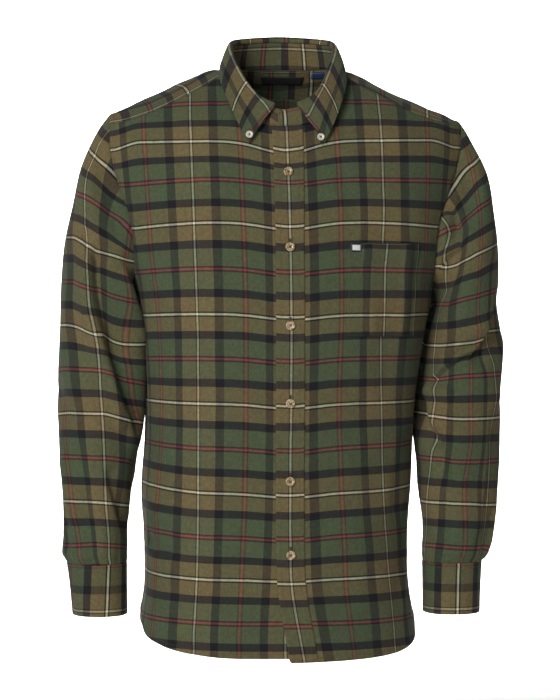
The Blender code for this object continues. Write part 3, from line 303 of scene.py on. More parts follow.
BACK_FOLDS = np.array([
    (-0.065, -0.12, -0.05, -0.56, 0.008, 0.026, -0.0035, 0.3, 0),
    (0.07, -0.11, 0.058, -0.52, -0.006, 0.026, -0.0035, -0.3, 0),
    (0, -0.3, 0.004, -0.68, 0.005, 0.034, 0.003, 0, 0),
    (-0.16, -0.18, -0.12, -0.42, 0.01, 0.024, 0.0028, 0, 0),
    (0.165, -0.19, 0.12, -0.45, -0.008, 0.024, 0.0028, 0, 0),
    (-0.185, -0.33, -0.12, -0.365, 0.006, 0.013, -0.004, 0.4, 0.002),
    (0.19, -0.345, 0.13, -0.39, -0.006, 0.013, -0.004, -0.4, 0.002),
    (-0.185, -0.52, -0.09, -0.56, 0.008, 0.016, -0.0045, 0.4, 0.002),
    (0.18, -0.545, 0.11, -0.57, -0.006, 0.014, -0.0035, -0.4, 0.002),
    (-0.03, -0.6, -0.036, -0.72, 0.003, 0.018, -0.0022, 0, 0),
])
SLEEVE_FOLDS = dict(
    right=np.array([
        (152, -0.215, 153, -0.47, 0, 0.021, 0.0112, 0, 0),
        (138, -0.25, 148, -0.345, 0, 0.015, 0.008, 0, 0),
        (86, -0.23, 146, -0.45, 0.007, 0.011, -0.0125, 0.5, 0.003),
        (64, -0.24, 130, -0.45, 0.007, 0.01, 0.0042, 0, 0),
        (62, -0.2, 96, -0.246, 0.003, 0.009, -0.005, 0.4, 0.003),
        (46, -0.1, 112, -0.205, -0.004, 0.012, -0.007, -0.3, 0),
        (124, -0.2, 156, -0.3, 0, 0.011, -0.006, 0.3, 0),
        (76, -0.3, 100, -0.338, 0.002, 0.009, 0.0034, 0.3, 0.003),
        (100, -0.395, 128, -0.445, 0.002, 0.01, 0.003, 0, 0),
        (6, -0.395, 52, -0.442, 0.003, 0.016, -0.0036, 0.3, 0),
        (26, -0.485, 48, -0.565, 0.003, 0.016, 0.0026, 0, 0),
        (108, -0.5, 168, -0.59, 0.004, 0.011, -0.006, 0.3, 0),
        (60, -0.47, 84, -0.6, -0.003, 0.014, -0.003, 0, 0),
        (24, -0.548, 34, -0.622, 0.002, 0.007, -0.0045, 0.5, 0),
        (-50, -0.3, -110, -0.4, 0.01, 0.018, -0.007, 0.4, 0.002),
        (-120, -0.21, -95, -0.3, 0.004, 0.014, -0.006, 0, 0),
        (-60, -0.45, -20, -0.52, 0.003, 0.018, -0.005, 0.3, 0),
        (-95, -0.47, -130, -0.56, -0.004, 0.014, 0.0034, 0, 0),
    ]),
    left=np.array([
        (210, -0.25, 207, -0.47, 0, 0.02, 0.004, 0, 0),
        (31, -0.272, 82, -0.362, 0.004, 0.007, -0.0085, -0.75, -0.004),
        (66, -0.35, 142, -0.392, -0.004, 0.007, -0.009, -0.75, 0),
        (60, -0.318, 132, -0.368, -0.006, 0.011, 0.005, 0, 0),
        (90, -0.165, 102, -0.226, 0.003, 0.008, -0.0095, 0.5, 0.004),
        (96, -0.222, 160, -0.274, -0.005, 0.007, -0.0105, -0.75, 0.006),
        (118, -0.18, 140, -0.24, 0, 0.011, 0.007, 0, 0.006),
        (50, -0.135, 104, -0.205, 0.003, 0.01, -0.0058, 0.3, 0),
        (98, -0.235, 114, -0.335, 0.004, 0.016, 0.0034, 0, 0),
        (152, -0.4, 108, -0.405, 0.002, 0.011, 0.0072, 0, 0),
        (158, -0.412, 122, -0.47, -0.004, 0.009, -0.0085, 0.4, 0.003),
        (128, -0.448, 112, -0.52, 0.002, 0.01, -0.0045, 0, 0),
        (42, -0.44, 58, -0.605, 0.003, 0.011, -0.0046, -0.4, 0),
        (92, -0.49, 100, -0.6, 0.002, 0.015, 0.0026, 0, 0),
        (16, -0.33, 40, -0.42, 0.004, 0.014, 0.0034, 0, 0),
        (28, -0.55, 36, -0.622, 0.002, 0.007, -0.0042, 0.5, 0),
        (-50, -0.33, -115, -0.41, 0.01, 0.016, -0.007, 0.4, 0.002),
        (-115, -0.2, -90, -0.32, 0.004, 0.014, -0.006, 0, 0),
        (-30, -0.46, -90, -0.53, 0.004, 0.016, -0.005, 0.3, 0),
        (-120, -0.48, -140, -0.57, -0.004, 0.014, 0.0034, 0, 0),
    ]),
)
SLEEVE_RADIUS = 0.052              # turns degrees into metres for the folds
SEAM_CLEARANCE = 0.03              # a body fold dies out this close to a side seam
FOLD_FADE = 0.25                   # share of a fold's length over which it rises and dies out
FOLD_HOLLOW, FOLD_FALL = 0.6, 0.7  # its section: the hollows beside it, and how fast all of it falls off
FLANK_STEP, TUCK_STEP, TUCK_FALL = 2, 3, 0.5   # how sharply its lean and its tuck turn over at its crest


def fold_lift(across, z, folds):
    """How far the folds raise or sink the cloth at places (across, z), and how much cloth they swallow."""
    lift = np.zeros(np.broadcast(across, z).shape)
    swallowed = np.zeros_like(lift)
    for across_a, z_a, across_b, z_b, bend, width, depth, lean, tuck in folds:
        run, drop = across_b - across_a, z_b - z_a
        length = np.hypot(run, drop)
        t = ((across - across_a) * run + (z - z_a) * drop) / length ** 2
        side = ((across - across_a) * drop - (z - z_a) * run) / length - bend * 4 * t * (1 - t)
        strength = smooth((t + FOLD_FADE / 2) / FOLD_FADE) * smooth((1 + FOLD_FADE / 2 - t) / FOLD_FADE)
        s = side / width * (1 + lean * np.tanh(FLANK_STEP * side / width))
        lift += depth * strength * (1 - FOLD_HOLLOW * s * s) * np.exp(-FOLD_FALL * s * s)
        swallowed += tuck * strength * np.tanh(TUCK_STEP * s) * np.exp(-TUCK_FALL * np.abs(s)) / 2
    return lift, swallowed


# ================================================================ the body's surface
@lru_cache(None)
def ring_ways(z, front):
    """Half a ring from the right side seam to the left one, by way of the centre front or back.

    Also how far along it each point is from the centre line: the buttons' line, or the middle behind.
    """
    angle = np.linspace(-np.pi / 2, np.pi / 2, RING_STEPS)
    side = "front" if front else "back"
    power = 2 / TORSO(side + "_square", z)
    x = TORSO("centre_x", z) + TORSO("half_width", z) * np.sign(angle) * np.abs(np.sin(angle)) ** power
    y = TORSO(side, z) * np.abs(np.cos(angle)) ** power
    points = np.stack([x, CENTRE_Y + (-y if front else y), np.full(RING_STEPS, z)], axis=1)
    way = lengths(points)
    return points, way - np.interp(TORSO("front_x" if front else "centre_x", z), points[:, 0], way)


def on_body(z, u, front=True):
    """The place (z, u) on the front, or on the back."""
    points, way = ring_ways(z, front)
    return along(points, way, u)


def edge_way(z, side, front=True):
    """The outer edge of a front or of the back: side seam below the armpit, armhole above it."""
    points, way = ring_ways(z, front)
    if z <= ARMPIT_Z + EPSILON:
        return way[-1] if side > 0 else way[0]
    if front:
        return np.interp(side * ARMHOLE(hand(side), z), points[:, 0], way)
    height = min(1.0, (z - ARMPIT_Z) / (BACK_SEAM["z"][-1] - ARMPIT_Z))
    share = smooth(height)
    x = ARMHOLE(hand(side), ARMPIT_Z) * (1 - share) + BACK_ARMHOLE_X * share
    return np.interp(side * (x - BACK_ARMHOLE_IN * np.sin(np.pi * height)), points[:, 0], way)


def row_levels(hem, top):
    """Heights of one column's rows: hem, the shared levels, and shares of the way on to its top edge."""
    last = ROW_LEVELS[-1]
    return [hem, *ROW_LEVELS, *(last + share * (top - last) for share in TOP_SHARES)]


def front_column(c, z, side):
    """How far from the centre front a column of the front is at a height."""
    u_low, u_top, z_top = FRONT.rows[c]
    blend = smooth((z - ROW_LEVELS[-1]) / (z_top - ROW_LEVELS[-1]))
    u = side * (u_low * (1 - blend) + u_top * blend)
    if c == len(FRONT.rows) - 1:
        halfway = 0.5 * (edge_way(min(z, SHOULDER_SEAM_Z), side) + side * FRONT["u_low"][c - 1])
        u = (1 - LAST_COLUMN_EVEN) * u + LAST_COLUMN_EVEN * halfway
    return u


def front_grid(side):
    """Points and places in the cloth (u, z), rows from hem to neck, columns from the centre front out."""
    hem = HEM["front_" + hand(side)]
    grid = np.zeros((PANEL_ROWS, len(FRONT.rows) + 1, 5))
    for c, (u_low, _, z_top) in enumerate(FRONT.rows):
        share = np.clip(u_low / HALF_FRONT, 0.0, 1.0)
        for r, z in enumerate(row_levels(curve(share, HEM["share"], hem), z_top)):
            u = front_column(c, z, side)
            flare = FLARE * smooth((FLARE_TOP - z) / (FLARE_TOP - FLARE_BOTTOM)) if side > 0 else 0.0
            grid[r, c] = (*on_body(z, u + flare * (1 - smooth((u_low - FLARE_FULL) / FLARE_FADE))), u, z)
    for r, z in enumerate(row_levels(hem[-1], SHOULDER_SEAM_Z)):
        u = edge_way(z, side)
        grid[r, -1] = (*on_body(z, u), u, z)
    return grid


def back_grid(front_right, front_left):
    """Points and places in the cloth, rows from hem to yoke seam, columns from the right side to the left one."""
    grid = np.zeros((PANEL_ROWS, BACK_CELLS + 1, 5))
    for c, signed in enumerate(np.linspace(-1, 1, BACK_CELLS + 1)):
        side, share = (1, signed) if signed >= 0 else (-1, -signed)
        hem = np.append(HEM["back"][:-1], HEM["front_" + hand(side)][-1])
        for r, z in enumerate(row_levels(curve(share, HEM["share"], hem), BACK_SEAM("z", share))):
            u = share * edge_way(z, side, front=False)
            grid[r, c] = (*on_body(z, u, front=False), u, z)
    for edge, front in ((0, front_right), (-1, front_left)):
        grid[:ARMPIT_ROW + 1, edge, :3] = front[:ARMPIT_ROW + 1, -1, :3]
    return grid


def panel_rows():
    """Fractional rows of a fine panel, even in height, with the armpit on a row of its own."""
    levels = np.array(row_levels(HEM["front_right"][0], SHOULDER_SEAM_Z))
    below = np.linspace(levels[0], ARMPIT_Z, ROWS_BELOW_ARMPIT + 1)
    above = np.linspace(ARMPIT_Z, levels[-1], ROWS_ABOVE_ARMPIT + 1)[1:]
    return np.interp(np.concatenate([below, above]), levels, np.arange(PANEL_ROWS))


def fine_columns(cells):
    return np.linspace(0, cells, cells * CELLS_PER_COLUMN + 1)


# ================================================================ yoke and neck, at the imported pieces' own points
def yoke_grid(front_right, front_left, back):
    """Columns from the right armhole over the neck to the left one, rows from front seam to back seam."""
    right_seam = front_right[-1, NECK_CORNER:][::-1]
    left_seam = front_left[-1, NECK_CORNER:]
    neck = neck_back(right_seam[-1], left_seam[0])
    front_edge = np.concatenate([right_seam, neck[1:-1], left_seam])
    front_way = unit(front_edge_ways(front_right, front_left))
    back_way = unit(back[-1] - back[-2])
    t = np.linspace(0, 1, YOKE_CELLS + 1)[:, None]
    grid = np.zeros((YOKE_CELLS + 1, len(front_edge), 3))
    for c, (start, end) in enumerate(zip(front_edge, back[-1])):
        chord = np.linalg.norm(end - start)
        over_shoulder = min(c, len(front_edge) - 1 - c) <= len(left_seam) - 1
        pull = shoulder_pull(start, front_way[c], end, -back_way[c], chord) if over_shoulder else NECK_PULL * chord
        grid[:, c] = hermite(start, front_way[c] * pull, end, -back_way[c] * pull, t)
    return grid


def shoulder_pull(start, start_way, end, end_way, chord):
    """The pull that lifts the middle of a curve from start to end up to the shoulder's ridge."""
    middle = 0.5 * (start + end)
    lift = RIDGE(hand(middle[0]), abs(middle[0])) - middle[2]
    lift_of_one = (start_way[2] - end_way[2]) / 8          # at t = 1/2 both ways weigh an eighth
    return np.clip(lift / max(LEAST_LIFT, lift_of_one), SHOULDER_PULL_LEAST * chord, SHOULDER_PULL_MOST * chord)


def neck_back(right_corner, left_corner):
    """The neckline behind the two corners where yoke and fronts meet."""
    shares = np.linspace(0, 1, YOKE_NECK_CELLS // 2 + 1)
    halves = []
    for corner, side in ((right_corner, -1), (left_corner, 1)):
        line = np.stack([NECK_BACK(name, shares) for name in "xyz"], axis=1) * (side, 1, 1)
        halves.append(line + (corner - line[0]) * (1 - shares[:, None]) ** 2)
    return np.concatenate([halves[0], halves[1][::-1][1:]])


def front_edge_ways(front_right, front_left):
    """Which way the yoke leaves its front edge: on from the fronts, and out from the neck behind."""
    right, left = (unit((front[-1] - front[-2])[NECK_CORNER:]) + (0.0, SHOULDER_WAY_BACK, 0.0)
                   for front in (front_right, front_left))
    half = YOKE_NECK_CELLS // 2
    behind = []
    for k in range(1, YOKE_NECK_CELLS):
        to_back = 1 - abs(k - half) / half
        near_corner = np.array(NECK_CORNER_WAY) - (0.0, 0.0, NECK_CORNER_DROP * smooth(NECK_CORNER_TURN * to_back))
        near_corner[0] *= -1 if k < half else 1
        behind.append(unit(near_corner) * (1 - to_back) + np.array(NECK_BACK_WAY) * to_back)
    return np.concatenate([right[::-1], np.array(behind), left])


def neck_shares(line):
    """Each neckline point's share of the way from centre front (0) to centre back (1), and its side."""
    way = lengths(line)
    first, last = way[1], way[-2]      # the two columns on the centre front
    middle = 0.5 * (first + last)
    return 1 - np.abs(way - middle) / (middle - first), np.where(way < middle, -1, 1)


def outward(line):
    """Level directions away from the neck's axis, square to the neckline."""
    out = np.cross(unit(np.gradient(line, axis=0) * LEVEL), UP)
    return unit(out * np.sign(((line - line.mean(axis=0)) * out).sum(axis=1))[:, None])


def stand_tops(line):
    """The stand's top edge, above each point of the neckline."""
    share, _ = neck_shares(line)
    inside = np.clip(share, FIRST_SHARE, 1)
    ends = smooth((FIRST_SHARE - share) / STAND_END_SHARE)
    height = COLLAR("stand", inside) * (1 - ends) + STAND_END_HEIGHT * ends
    return line + UP * height[:, None] - outward(line) * COLLAR("lean_in", inside)[:, None]


def lapped_out(line):
    """How far the stand lies out of the neckline: its upper end laps over the under one."""
    share, side = neck_shares(line)
    out = np.where(side > 0, STAND_LAP * (1 - smooth((share - STAND_LAP_FROM) / STAND_LAP_OVER)), 0.0)
    return outward(line) * out[:, None]


def stand_grid(line):
    top, out, bulge = stand_tops(line), lapped_out(line), outward(line) * STAND_BULGE
    stages = np.linspace(0, 1, STAND_CELLS + 1)
    return np.array([line * (1 - s) + top * s + out + bulge * np.sin(np.pi * s) for s in stages])


def leaf_grid(line):
    """Rows from the stand's top over the roll to the leaf's edge."""
    share, side = neck_shares(line)
    index, cells, middle = np.arange(len(line)), np.arange(LEAF_CELLS + 1), LEAF_CELLS // 2
    right = np.interp(FIRST_SHARE, share[side < 0], index[side < 0])
    left = np.interp(FIRST_SHARE, share[side > 0][::-1], index[side > 0][::-1])
    place = np.linspace(right, left, LEAF_CELLS + 1)
    out = unit(along(outward(line), index, place))
    leaf_share = np.clip(np.interp(place, index, share), FIRST_SHARE, 1)
    leaf_share[middle] = 1.0
    edge = np.stack([COLLAR("edge_" + name, leaf_share) for name in "xyz"], axis=1)
    edge[:, 0] *= np.where(cells < middle, -1, 1)
    base = along(stand_tops(line) + lapped_out(line), index, place) + UP * LEAF_RISE
    inner = base + UP * COLLAR("rise", leaf_share)[:, None]
    outer = inner + out * 2 * ROLL_RADIUS
    falling = [outer + (edge - outer) * s + out * LEAF_BOW * np.sin(np.pi * s) for s in LEAF_FALL_SHARES]
    return np.array([base, inner, inner + (out + UP) * ROLL_RADIUS, outer, *falling, edge])


# ================================================================ sleeves and cuffs
def sleeve_ring(z, angle, side):
    """Level slice of a sleeve; angle 0 is its outer side, 90 degrees its front."""
    outer, inner = (SLEEVE(hand(side) + edge, z) for edge in ("_outer", "_inner"))
    front, back = SLEEVE("front", z), SLEEVE("back", z)
    cos, sin = (np.sign(way) * np.abs(way) ** (2 / SLEEVE_SQUARE) for way in (np.cos(angle), np.sin(angle)))
    x = side * (0.5 * (outer + inner) + 0.5 * (outer - inner) * cos)
    return np.stack([x, 0.5 * (back - front) - 0.5 * (back + front) * sin, np.broadcast_to(z, x.shape)], axis=-1)


def armhole_loop(front, back_column, yoke_column):
    """The armhole seam from its top, down the front to the armpit and up the back."""
    top = YOKE_ROWS // 2
    return np.concatenate([yoke_column[:top + 1][::-1], front[ROWS_BELOW_ARMPIT:, -1][::-1][1:],
                           back_column[ROWS_BELOW_ARMPIT:][1:], yoke_column[top:][::-1][1:-1]])


def sleeve_tube(loop, side):
    """Rows from the armhole to the cuff, columns round the arm as in the armhole, and each column's angle."""
    way = lengths(np.concatenate([loop, loop[:1]]))
    angle = np.where(np.arange(len(loop)) <= LOOP_ARMPIT, np.pi * way[:-1] / way[LOOP_ARMPIT],
                     np.pi + np.pi * (way[:-1] - way[LOOP_ARMPIT]) / (way[-1] - way[LOOP_ARMPIT]))
    outer = 0.5 * (1 + np.cos(angle))
    rise = (HEAD_OUTER_Z - HEAD_INNER_Z) * outer      # how much higher the head ends at the outer side
    head_z = HEAD_INNER_Z + rise
    head = sleeve_ring(head_z, angle, side)
    gap = np.linalg.norm(head - loop, axis=1)[:, None]
    leaves = unit(np.stack([side * (HEAD_OUT - HEAD_OUT_LESS * outer), -HEAD_FORWARD * np.sin(angle),
                            -HEAD_DOWN - HEAD_DOWN_MORE * outer], axis=1))
    arrives = unit(sleeve_ring(head_z - HEAD_STEP, angle, side) - head)
    rows = [hermite(loop, leaves * gap, head, arrives * gap * HEAD_STIFF, s)
            for s in np.linspace(0, 1, HEAD_ROWS + 1)]
    for s in np.linspace(0, 1, UPPER_ROWS + 1)[1:-1]:
        z = HEAD_INNER_Z + s * (SLEEVE_TOP_ROW - HEAD_INNER_Z)
        rows.append(sleeve_ring(z + (1 + s * (TILT - 1)) * rise, angle, side))
    for z in np.linspace(SLEEVE_TOP_ROW, SLEEVE_END_ROW, TUBE_ROWS + 1):
        tilt = TILT * smooth((z - TILT_END_Z) / (SLEEVE_TOP_ROW - TILT_END_Z))
        rows.append(sleeve_ring(z + tilt * rise, angle, side))
    return np.array(rows), angle


WARP_HALF, WEFT_HALF = 0.0575, 0.0548        # metres from a white stripe to the next red one, across and along
WEFT_STATIONS = (-0.2, -0.1, 0.1, 0.2)       # metres from the centre front
WEFT = Table("index right_side right left left_side dip", [     # heights there, and the dip at the centre
    (-2, 0.01, 0.013, 0.013, 0.01, 0.002),
    (-1, -0.0465, -0.0415, -0.0385, -0.042, 0.006),
    (0, -0.0908, -0.0912, -0.0892, -0.086, 0.0158),
    (1, -0.143, -0.1386, -0.1384, -0.1378, 0.008),
    (2, -0.1975, -0.192, -0.1915, -0.195, 0.0092),
    (3, -0.252, -0.2486, -0.25, -0.2508, 0.0075),
    (4, -0.306, -0.3043, -0.3056, -0.3052, 0.0065),
    (5, -0.3604, -0.3592, -0.3595, -0.3592, 0.006),
    (6, -0.4132, -0.415, -0.4148, -0.4146, 0.0055),
    (7, -0.4662, -0.4703, -0.4686, -0.4676, 0.0058),
    (8, -0.518, -0.525, -0.5246, -0.5212, 0.0055),
    (9, -0.5762, -0.5798, -0.5784, -0.5778, 0.0045),
    (10, -0.6295, -0.6322, -0.6316, -0.6336, 0.002),
    (11, -0.6856, -0.686, -0.6866, -0.6884, -0.0005),
    (12, -0.74, -0.7405, -0.741, -0.743, 0),
])
DIP_WIDTH = 0.045
SHOULDER_DROP, DROP_FROM, DROP_OVER = 0.008, 0.185, 0.045   # the top stripes run down towards the armholes
DROP_LOW, DROP_HIGH = -0.14, -0.1
WARP = dict(             # height, and how far out the stripes run down there
    right=np.array([     # stripes -3 to 0
        (-0.06, -0.18, -0.119, -0.058, 0),
        (-0.17, -0.179, -0.1186, -0.057, 0),
        (-0.29, -0.176, -0.1163, -0.0545, 0),
        (-0.41, -0.173, -0.115, -0.0543, 0),
        (-0.52, -0.176, -0.1142, -0.0554, 0),
        (-0.61, -0.184, -0.116, -0.0592, -0.002),
        (-0.7, -0.19, -0.122, -0.064, -0.007),
    ]),
    left=np.array([      # and 0 to 3
        (-0.06, 0, 0.062, 0.1197, 0.184),
        (-0.17, 0, 0.0634, 0.1194, 0.183),
        (-0.29, 0.001, 0.0637, 0.1164, 0.188),
        (-0.41, 0.001, 0.061, 0.1198, 0.188),
        (-0.52, 0, 0.064, 0.1235, 0.186),
        (-0.61, 0, 0.0685, 0.132, 0.196),
        (-0.7, 0, 0.069, 0.1405, 0.202),
    ]),
)
SLEEVE_STATIONS = np.radians((-180, -90, 0, 45, 90, 135, 180))
SLEEVE_WEFT = dict(      # index, and its height at the outer side, at 45, 90 and 135 degrees and inside
    right=np.array([
        (-1, -0.04, -0.06, -0.1, -0.13, -0.14),
        (0, -0.094, -0.1115, -0.153, -0.187, -0.197),
        (1, -0.15, -0.157, -0.181, -0.222, -0.238),
        (2, -0.208, -0.209, -0.2275, -0.239, -0.25),
        (3, -0.264, -0.264, -0.274, -0.288, -0.297),
        (4, -0.319, -0.3183, -0.328, -0.344, -0.346),
        (5, -0.376, -0.3735, -0.3745, -0.389, -0.398),
        (6, -0.432, -0.429, -0.429, -0.439, -0.446),
        (7, -0.486, -0.484, -0.4842, -0.489, -0.498),
        (8, -0.542, -0.5395, -0.54, -0.544, -0.549),
        (9, -0.597, -0.595, -0.593, -0.596, -0.601),
        (10, -0.652, -0.65, -0.648, -0.65, -0.655),
    ]),
    left=np.array([
        (-1, -0.045, -0.068, -0.105, -0.135, -0.145),
        (0, -0.1, -0.1175, -0.164, -0.196, -0.205),
        (1, -0.154, -0.165, -0.189, -0.216, -0.226),
        (2, -0.211, -0.219, -0.232, -0.2455, -0.252),
        (3, -0.272, -0.2745, -0.282, -0.291, -0.2925),
        (4, -0.326, -0.328, -0.34, -0.3447, -0.3447),
        (5, -0.381, -0.3815, -0.3832, -0.387, -0.388),
        (6, -0.437, -0.4367, -0.437, -0.4332, -0.431),
        (7, -0.4915, -0.4915, -0.491, -0.4877, -0.487),
        (8, -0.548, -0.547, -0.5438, -0.543, -0.5435),
        (9, -0.603, -0.601, -0.599, -0.5978, -0.599),
        (10, -0.658, -0.656, -0.654, -0.653, -0.654),
    ]),
)
SLEEVE_WARP = dict(      # height, and the angles at which stripes -2 to 1 run down there
    right=np.array([
        (-0.09, -105, -38, 32, 92),
        (-0.12, -105, -30, 37, 96),
        (-0.15, -98, -20, 47, 102),
        (-0.19, -90, -10, 61, 108),
        (-0.24, -80, 2, 75, 127),
        (-0.29, -72, 8, 82, 135),
        (-0.34, -68, 12, 90, 131),
        (-0.4, -60, 23, 92, 140),
        (-0.46, -48, 34, 96, 155),
        (-0.53, -28, 49, 105, 168),
        (-0.61, -12, 68, 116, 180),
    ]),
    left=np.array([
        (-0.09, -35, 34, 88, 150),
        (-0.12, -20, 45, 92, 152),
        (-0.15, -8, 53, 96, 155),
        (-0.19, 8, 64, 100, 160),
        (-0.24, 26, 76, 128, 180),
        (-0.29, 42, 82, 152, 205),
        (-0.34, 52, 77, 147, 205),
        (-0.375, 43, 83, 141, 195),
        (-0.41, 43, 82, 131, 195),
        (-0.46, 43, 80, 131, 195),
        (-0.53, 45, 89, 146, 205),
        (-0.61, 40, 82, 165, 215),
    ]),
)
YOKE_WEFT = np.array([   # index, and how far to the side on the front seam and on the ridge
    (-4, -0.224, -0.234), (-3, -0.167, -0.179), (-2, -0.12, -0.136), (-1, -0.074, -0.08), (0, -0.0268, -0.0268),
    (1, 0.025, 0.025), (2, 0.078, 0.084), (3, 0.125, 0.131), (4, 0.181, 0.187),
])
YOKE_HALF = 0.05         # the stripes' natural spacing, seen from above
YOKE_WHITE = np.array([  # to the side, and how far behind the front seam the faint white line runs
    (-0.2, 0.003), (0.08, 0.003), (0.11, 0.03), (0.131, 0.03), (0.155, 0.022), (0.174, 0.015), (0.21, 0.008),
])
INNER_YOKE = (0.0, 0.7)  # the yoke's inner layer is cut this many half repeats further along
BACK_RED = 0.01          # metres from the centre back to the red stripe beside it
BACK_BLEND = 0.4         # the width over which the weft behind goes from one side seam's heights to the other's
SPREAD_MOST = 2.5        # the most that the check's spacing near a stripe counts against the drawn one
STAND_WHITE = np.array([ # metres from the centre back, and how far below the stand's top its white line runs
    (-0.262, 0.05), (-0.215, 0.03), (-0.17, 0.007), (0.172, 0.007), (0.203, 0.0585), (0.262, 0.059),
])
STAND_WEFT_FIRST = -6    # and where the stand's stripes cross it
STAND_WEFT = (-0.244, -0.207, -0.173, -0.13, -0.0776, -0.0228, 0.032, 0.0868, 0.1416, 0.198, 0.253)
LEAF_WEFT = np.array([   # index, and the leaf's column on the roll and at the edge
    (-3, -0.15, 0.42), (-2, 2.55, 3.25), (-1, 6.1, 6.1), (0, 8.95, 8.95), (1, 11.39, 11.39), (2, 13.9, 13.9),
    (3, 16.6, 16.6), (4, 19.6, 18.9), (5, 22.3, 21.7),
])
LEAF_HALF = 2.5          # columns from a white stripe to the next red one
LEAF_WARP_HALF = 0.063   # and metres, down the leaf
LEAF_WHITE = np.array([  # column, and how far below the stand's top the white line runs
    (0, 0.021), (1, 0.011), (2, 0.008), (19, 0.008), (19.4, 0.009), (20.5, 0.014), (21.8, 0.028),
])
CUFF_WARP_WHITE = -0.677                                     # the height of the faint white line at the cuffs' ends
CUFF_WHITE = dict(right=(112.5, 103.8), left=(85.5, 85.5))   # and the white stripe's angle at their tops and ends


def counted(value, places, first, natural):
    """Where a value is among the places of stripes numbered first, first + 1 and so on.

    Near each stripe the check has its natural spacing, so that stripes keep their width where they are drawn apart.
    """
    total = first + np.minimum(0.0, (value - places[0]) / natural)
    for here, there in zip(places, places[1:]):
        t = np.clip((value - here) / (there - here), 0.0, 1.0)
        total = total + np.minimum((there - here) / natural, SPREAD_MOST) * t * (1 - t) * (1 - 2 * t) + smooth(t)
    return total + np.maximum(0.0, (value - places[-1]) / natural)


def between(table, share):
    """Places a share of the way from a table's second column to its third."""
    return [start + (end - start) * share for _, start, end in table]


def line_of(table, x):
    return curve(x, table[:, 0], table[:, 1])


def weave_of_front(u, z):
    side, first = ("left", 0) if u.mean() > 0 else ("right", -3)
    warps = [curve(z, WARP[side][:, 0], WARP[side][:, k]) for k in range(1, 5)]
    dip = np.exp(-(u / DIP_WIDTH) ** 2)
    drop = SHOULDER_DROP * smooth((np.abs(u) - DROP_FROM) / DROP_OVER)
    wefts = [curve(u, WEFT_STATIONS, row[1:5]) - row[5] * dip
             - drop * smooth((row[1] - DROP_LOW) / (DROP_HIGH - DROP_LOW)) for row in WEFT.rows]
    return np.stack([counted(u, warps, first, WARP_HALF), counted(z, wefts, WEFT["index"][0], -WEFT_HALF)], axis=-1)


def weave_of_back(u, z):
    wefts = [row[1] + (row[4] - row[1]) * smooth(0.5 + u / BACK_BLEND) for row in WEFT.rows]
    return np.stack([1 + (u - BACK_RED) / WARP_HALF, counted(z, wefts, WEFT["index"][0], -WEFT_HALF)], axis=-1)


def weave_of_yoke(points, row_ways):
    """A turned piece: its strong stripes run from front to back, its faint ones along the shoulders."""
    wefts = between(YOKE_WEFT, smooth(np.linspace(0, 2, points.shape[0]))[:, None])
    white = line_of(YOKE_WHITE, points[:, :, 0])
    return np.stack([(row_ways - white) / WARP_HALF,
                     counted(points[:, :, 0], wefts, YOKE_WEFT[0, 0], YOKE_HALF)], axis=-1)


def weave_of_sleeve(z, angle, way, side):
    """Places in the weave of a sleeve whose columns run round the arm from the armpit and back to it."""
    def round_arm(angles):
        """How far along the cloth round the arm the given angles are, row by row."""
        inside = np.array([np.interp(*row) for row in zip(angles, np.broadcast_to(angle, way.shape), way)])
        return inside + (angles - np.clip(angles, -np.pi, np.pi)) * SLEEVE_RADIUS

    warp, weft = SLEEVE_WARP[hand(side)], SLEEVE_WEFT[hand(side)]
    warps = [round_arm(np.radians(curve(z, warp[:, 0], warp[:, k]))) for k in range(1, 5)]
    wefts = [curve(angle, SLEEVE_STATIONS, row[[5, 1, 1, 2, 3, 4, 5]]) + 0 * z for row in weft]
    return np.stack([counted(way, warps, -2, WARP_HALF), counted(z, wefts, weft[0, 0], -WEFT_HALF)], axis=-1)


# ================================================================ the pieces of cloth
BODY_RIPPLE, FINE_RIPPLE, SLEEVE_RIPPLE = 0.0008, 0.0003, 0.0012      # the heights of the cloth's soft unevenness
BODY_WAVES, FINE_WAVES = (0.12, 0.3), (0.045, 0.09)                   # and its wavelengths, across and down
YOKE_WAVES, SLEEVE_WAVES = (0.09, 0.07), (0.1, 0.11)
YOKE_CLEARANCE, SLEEVE_CLEARANCE, EDGE_CLEARANCE = 0.02, 0.03, 0.004  # it dies out this close to a seam
SEAM_PUCKER, PUCKER_REACH, PUCKER_LENGTH = 0.0003, 0.01, 0.016
CUFF_GATHER, GATHER_REACH, GATHER_FROM, SLEEVE_EDGE = 0.0016, 0.04, 0.006, 0.001
FELL_RISE, FELL_WIDTH, FELL_FROM, FELL_END = 0.0006, 0.0085, 0.002, 0.003    # a felled seam's band of doubled cloth
SEAM_SINK, SEAM_HALF = 0.0011, 0.003           # how far the seam itself is drawn in
HEM_RISE, HEM_WIDTH, HEM_END, BAND_FADE = 0.0006, 0.007, 0.002, 0.004
FRONT_LIFT = 1.6 * LAYER_GAP + CLOTH           # of the upper front over the under one
LEVEL, UP = np.array([1.0, 1.0, 0.0]), np.array([0.0, 0.0, 1.0])
BODY_AXIS = np.array([0.0, CENTRE_Y, 0.0])
PANEL = panel_rows()
ARMPIT = ROWS_BELOW_ARMPIT                     # the fine row of the armpit
LOOP_ARMPIT = YOKE_ROWS // 2 + ROWS_ABOVE_ARMPIT   # and its place in the armhole's loop


class Cloth:
    """A grid of points, their outward normals, and their places in the weave."""

    def __init__(self, points, normal, weave):
        self.points, self.normal, self.weave = points, normal, weave

    def at(self, rows, columns, offset=0.0):
        """The cloth at fractional rows and columns, moved out by an offset."""
        normal = unit(refined(self.normal, rows, columns))
        points = refined(self.points, rows, columns) + normal * offset
        return Cloth(points, normal, refined(self.weave, rows, columns))


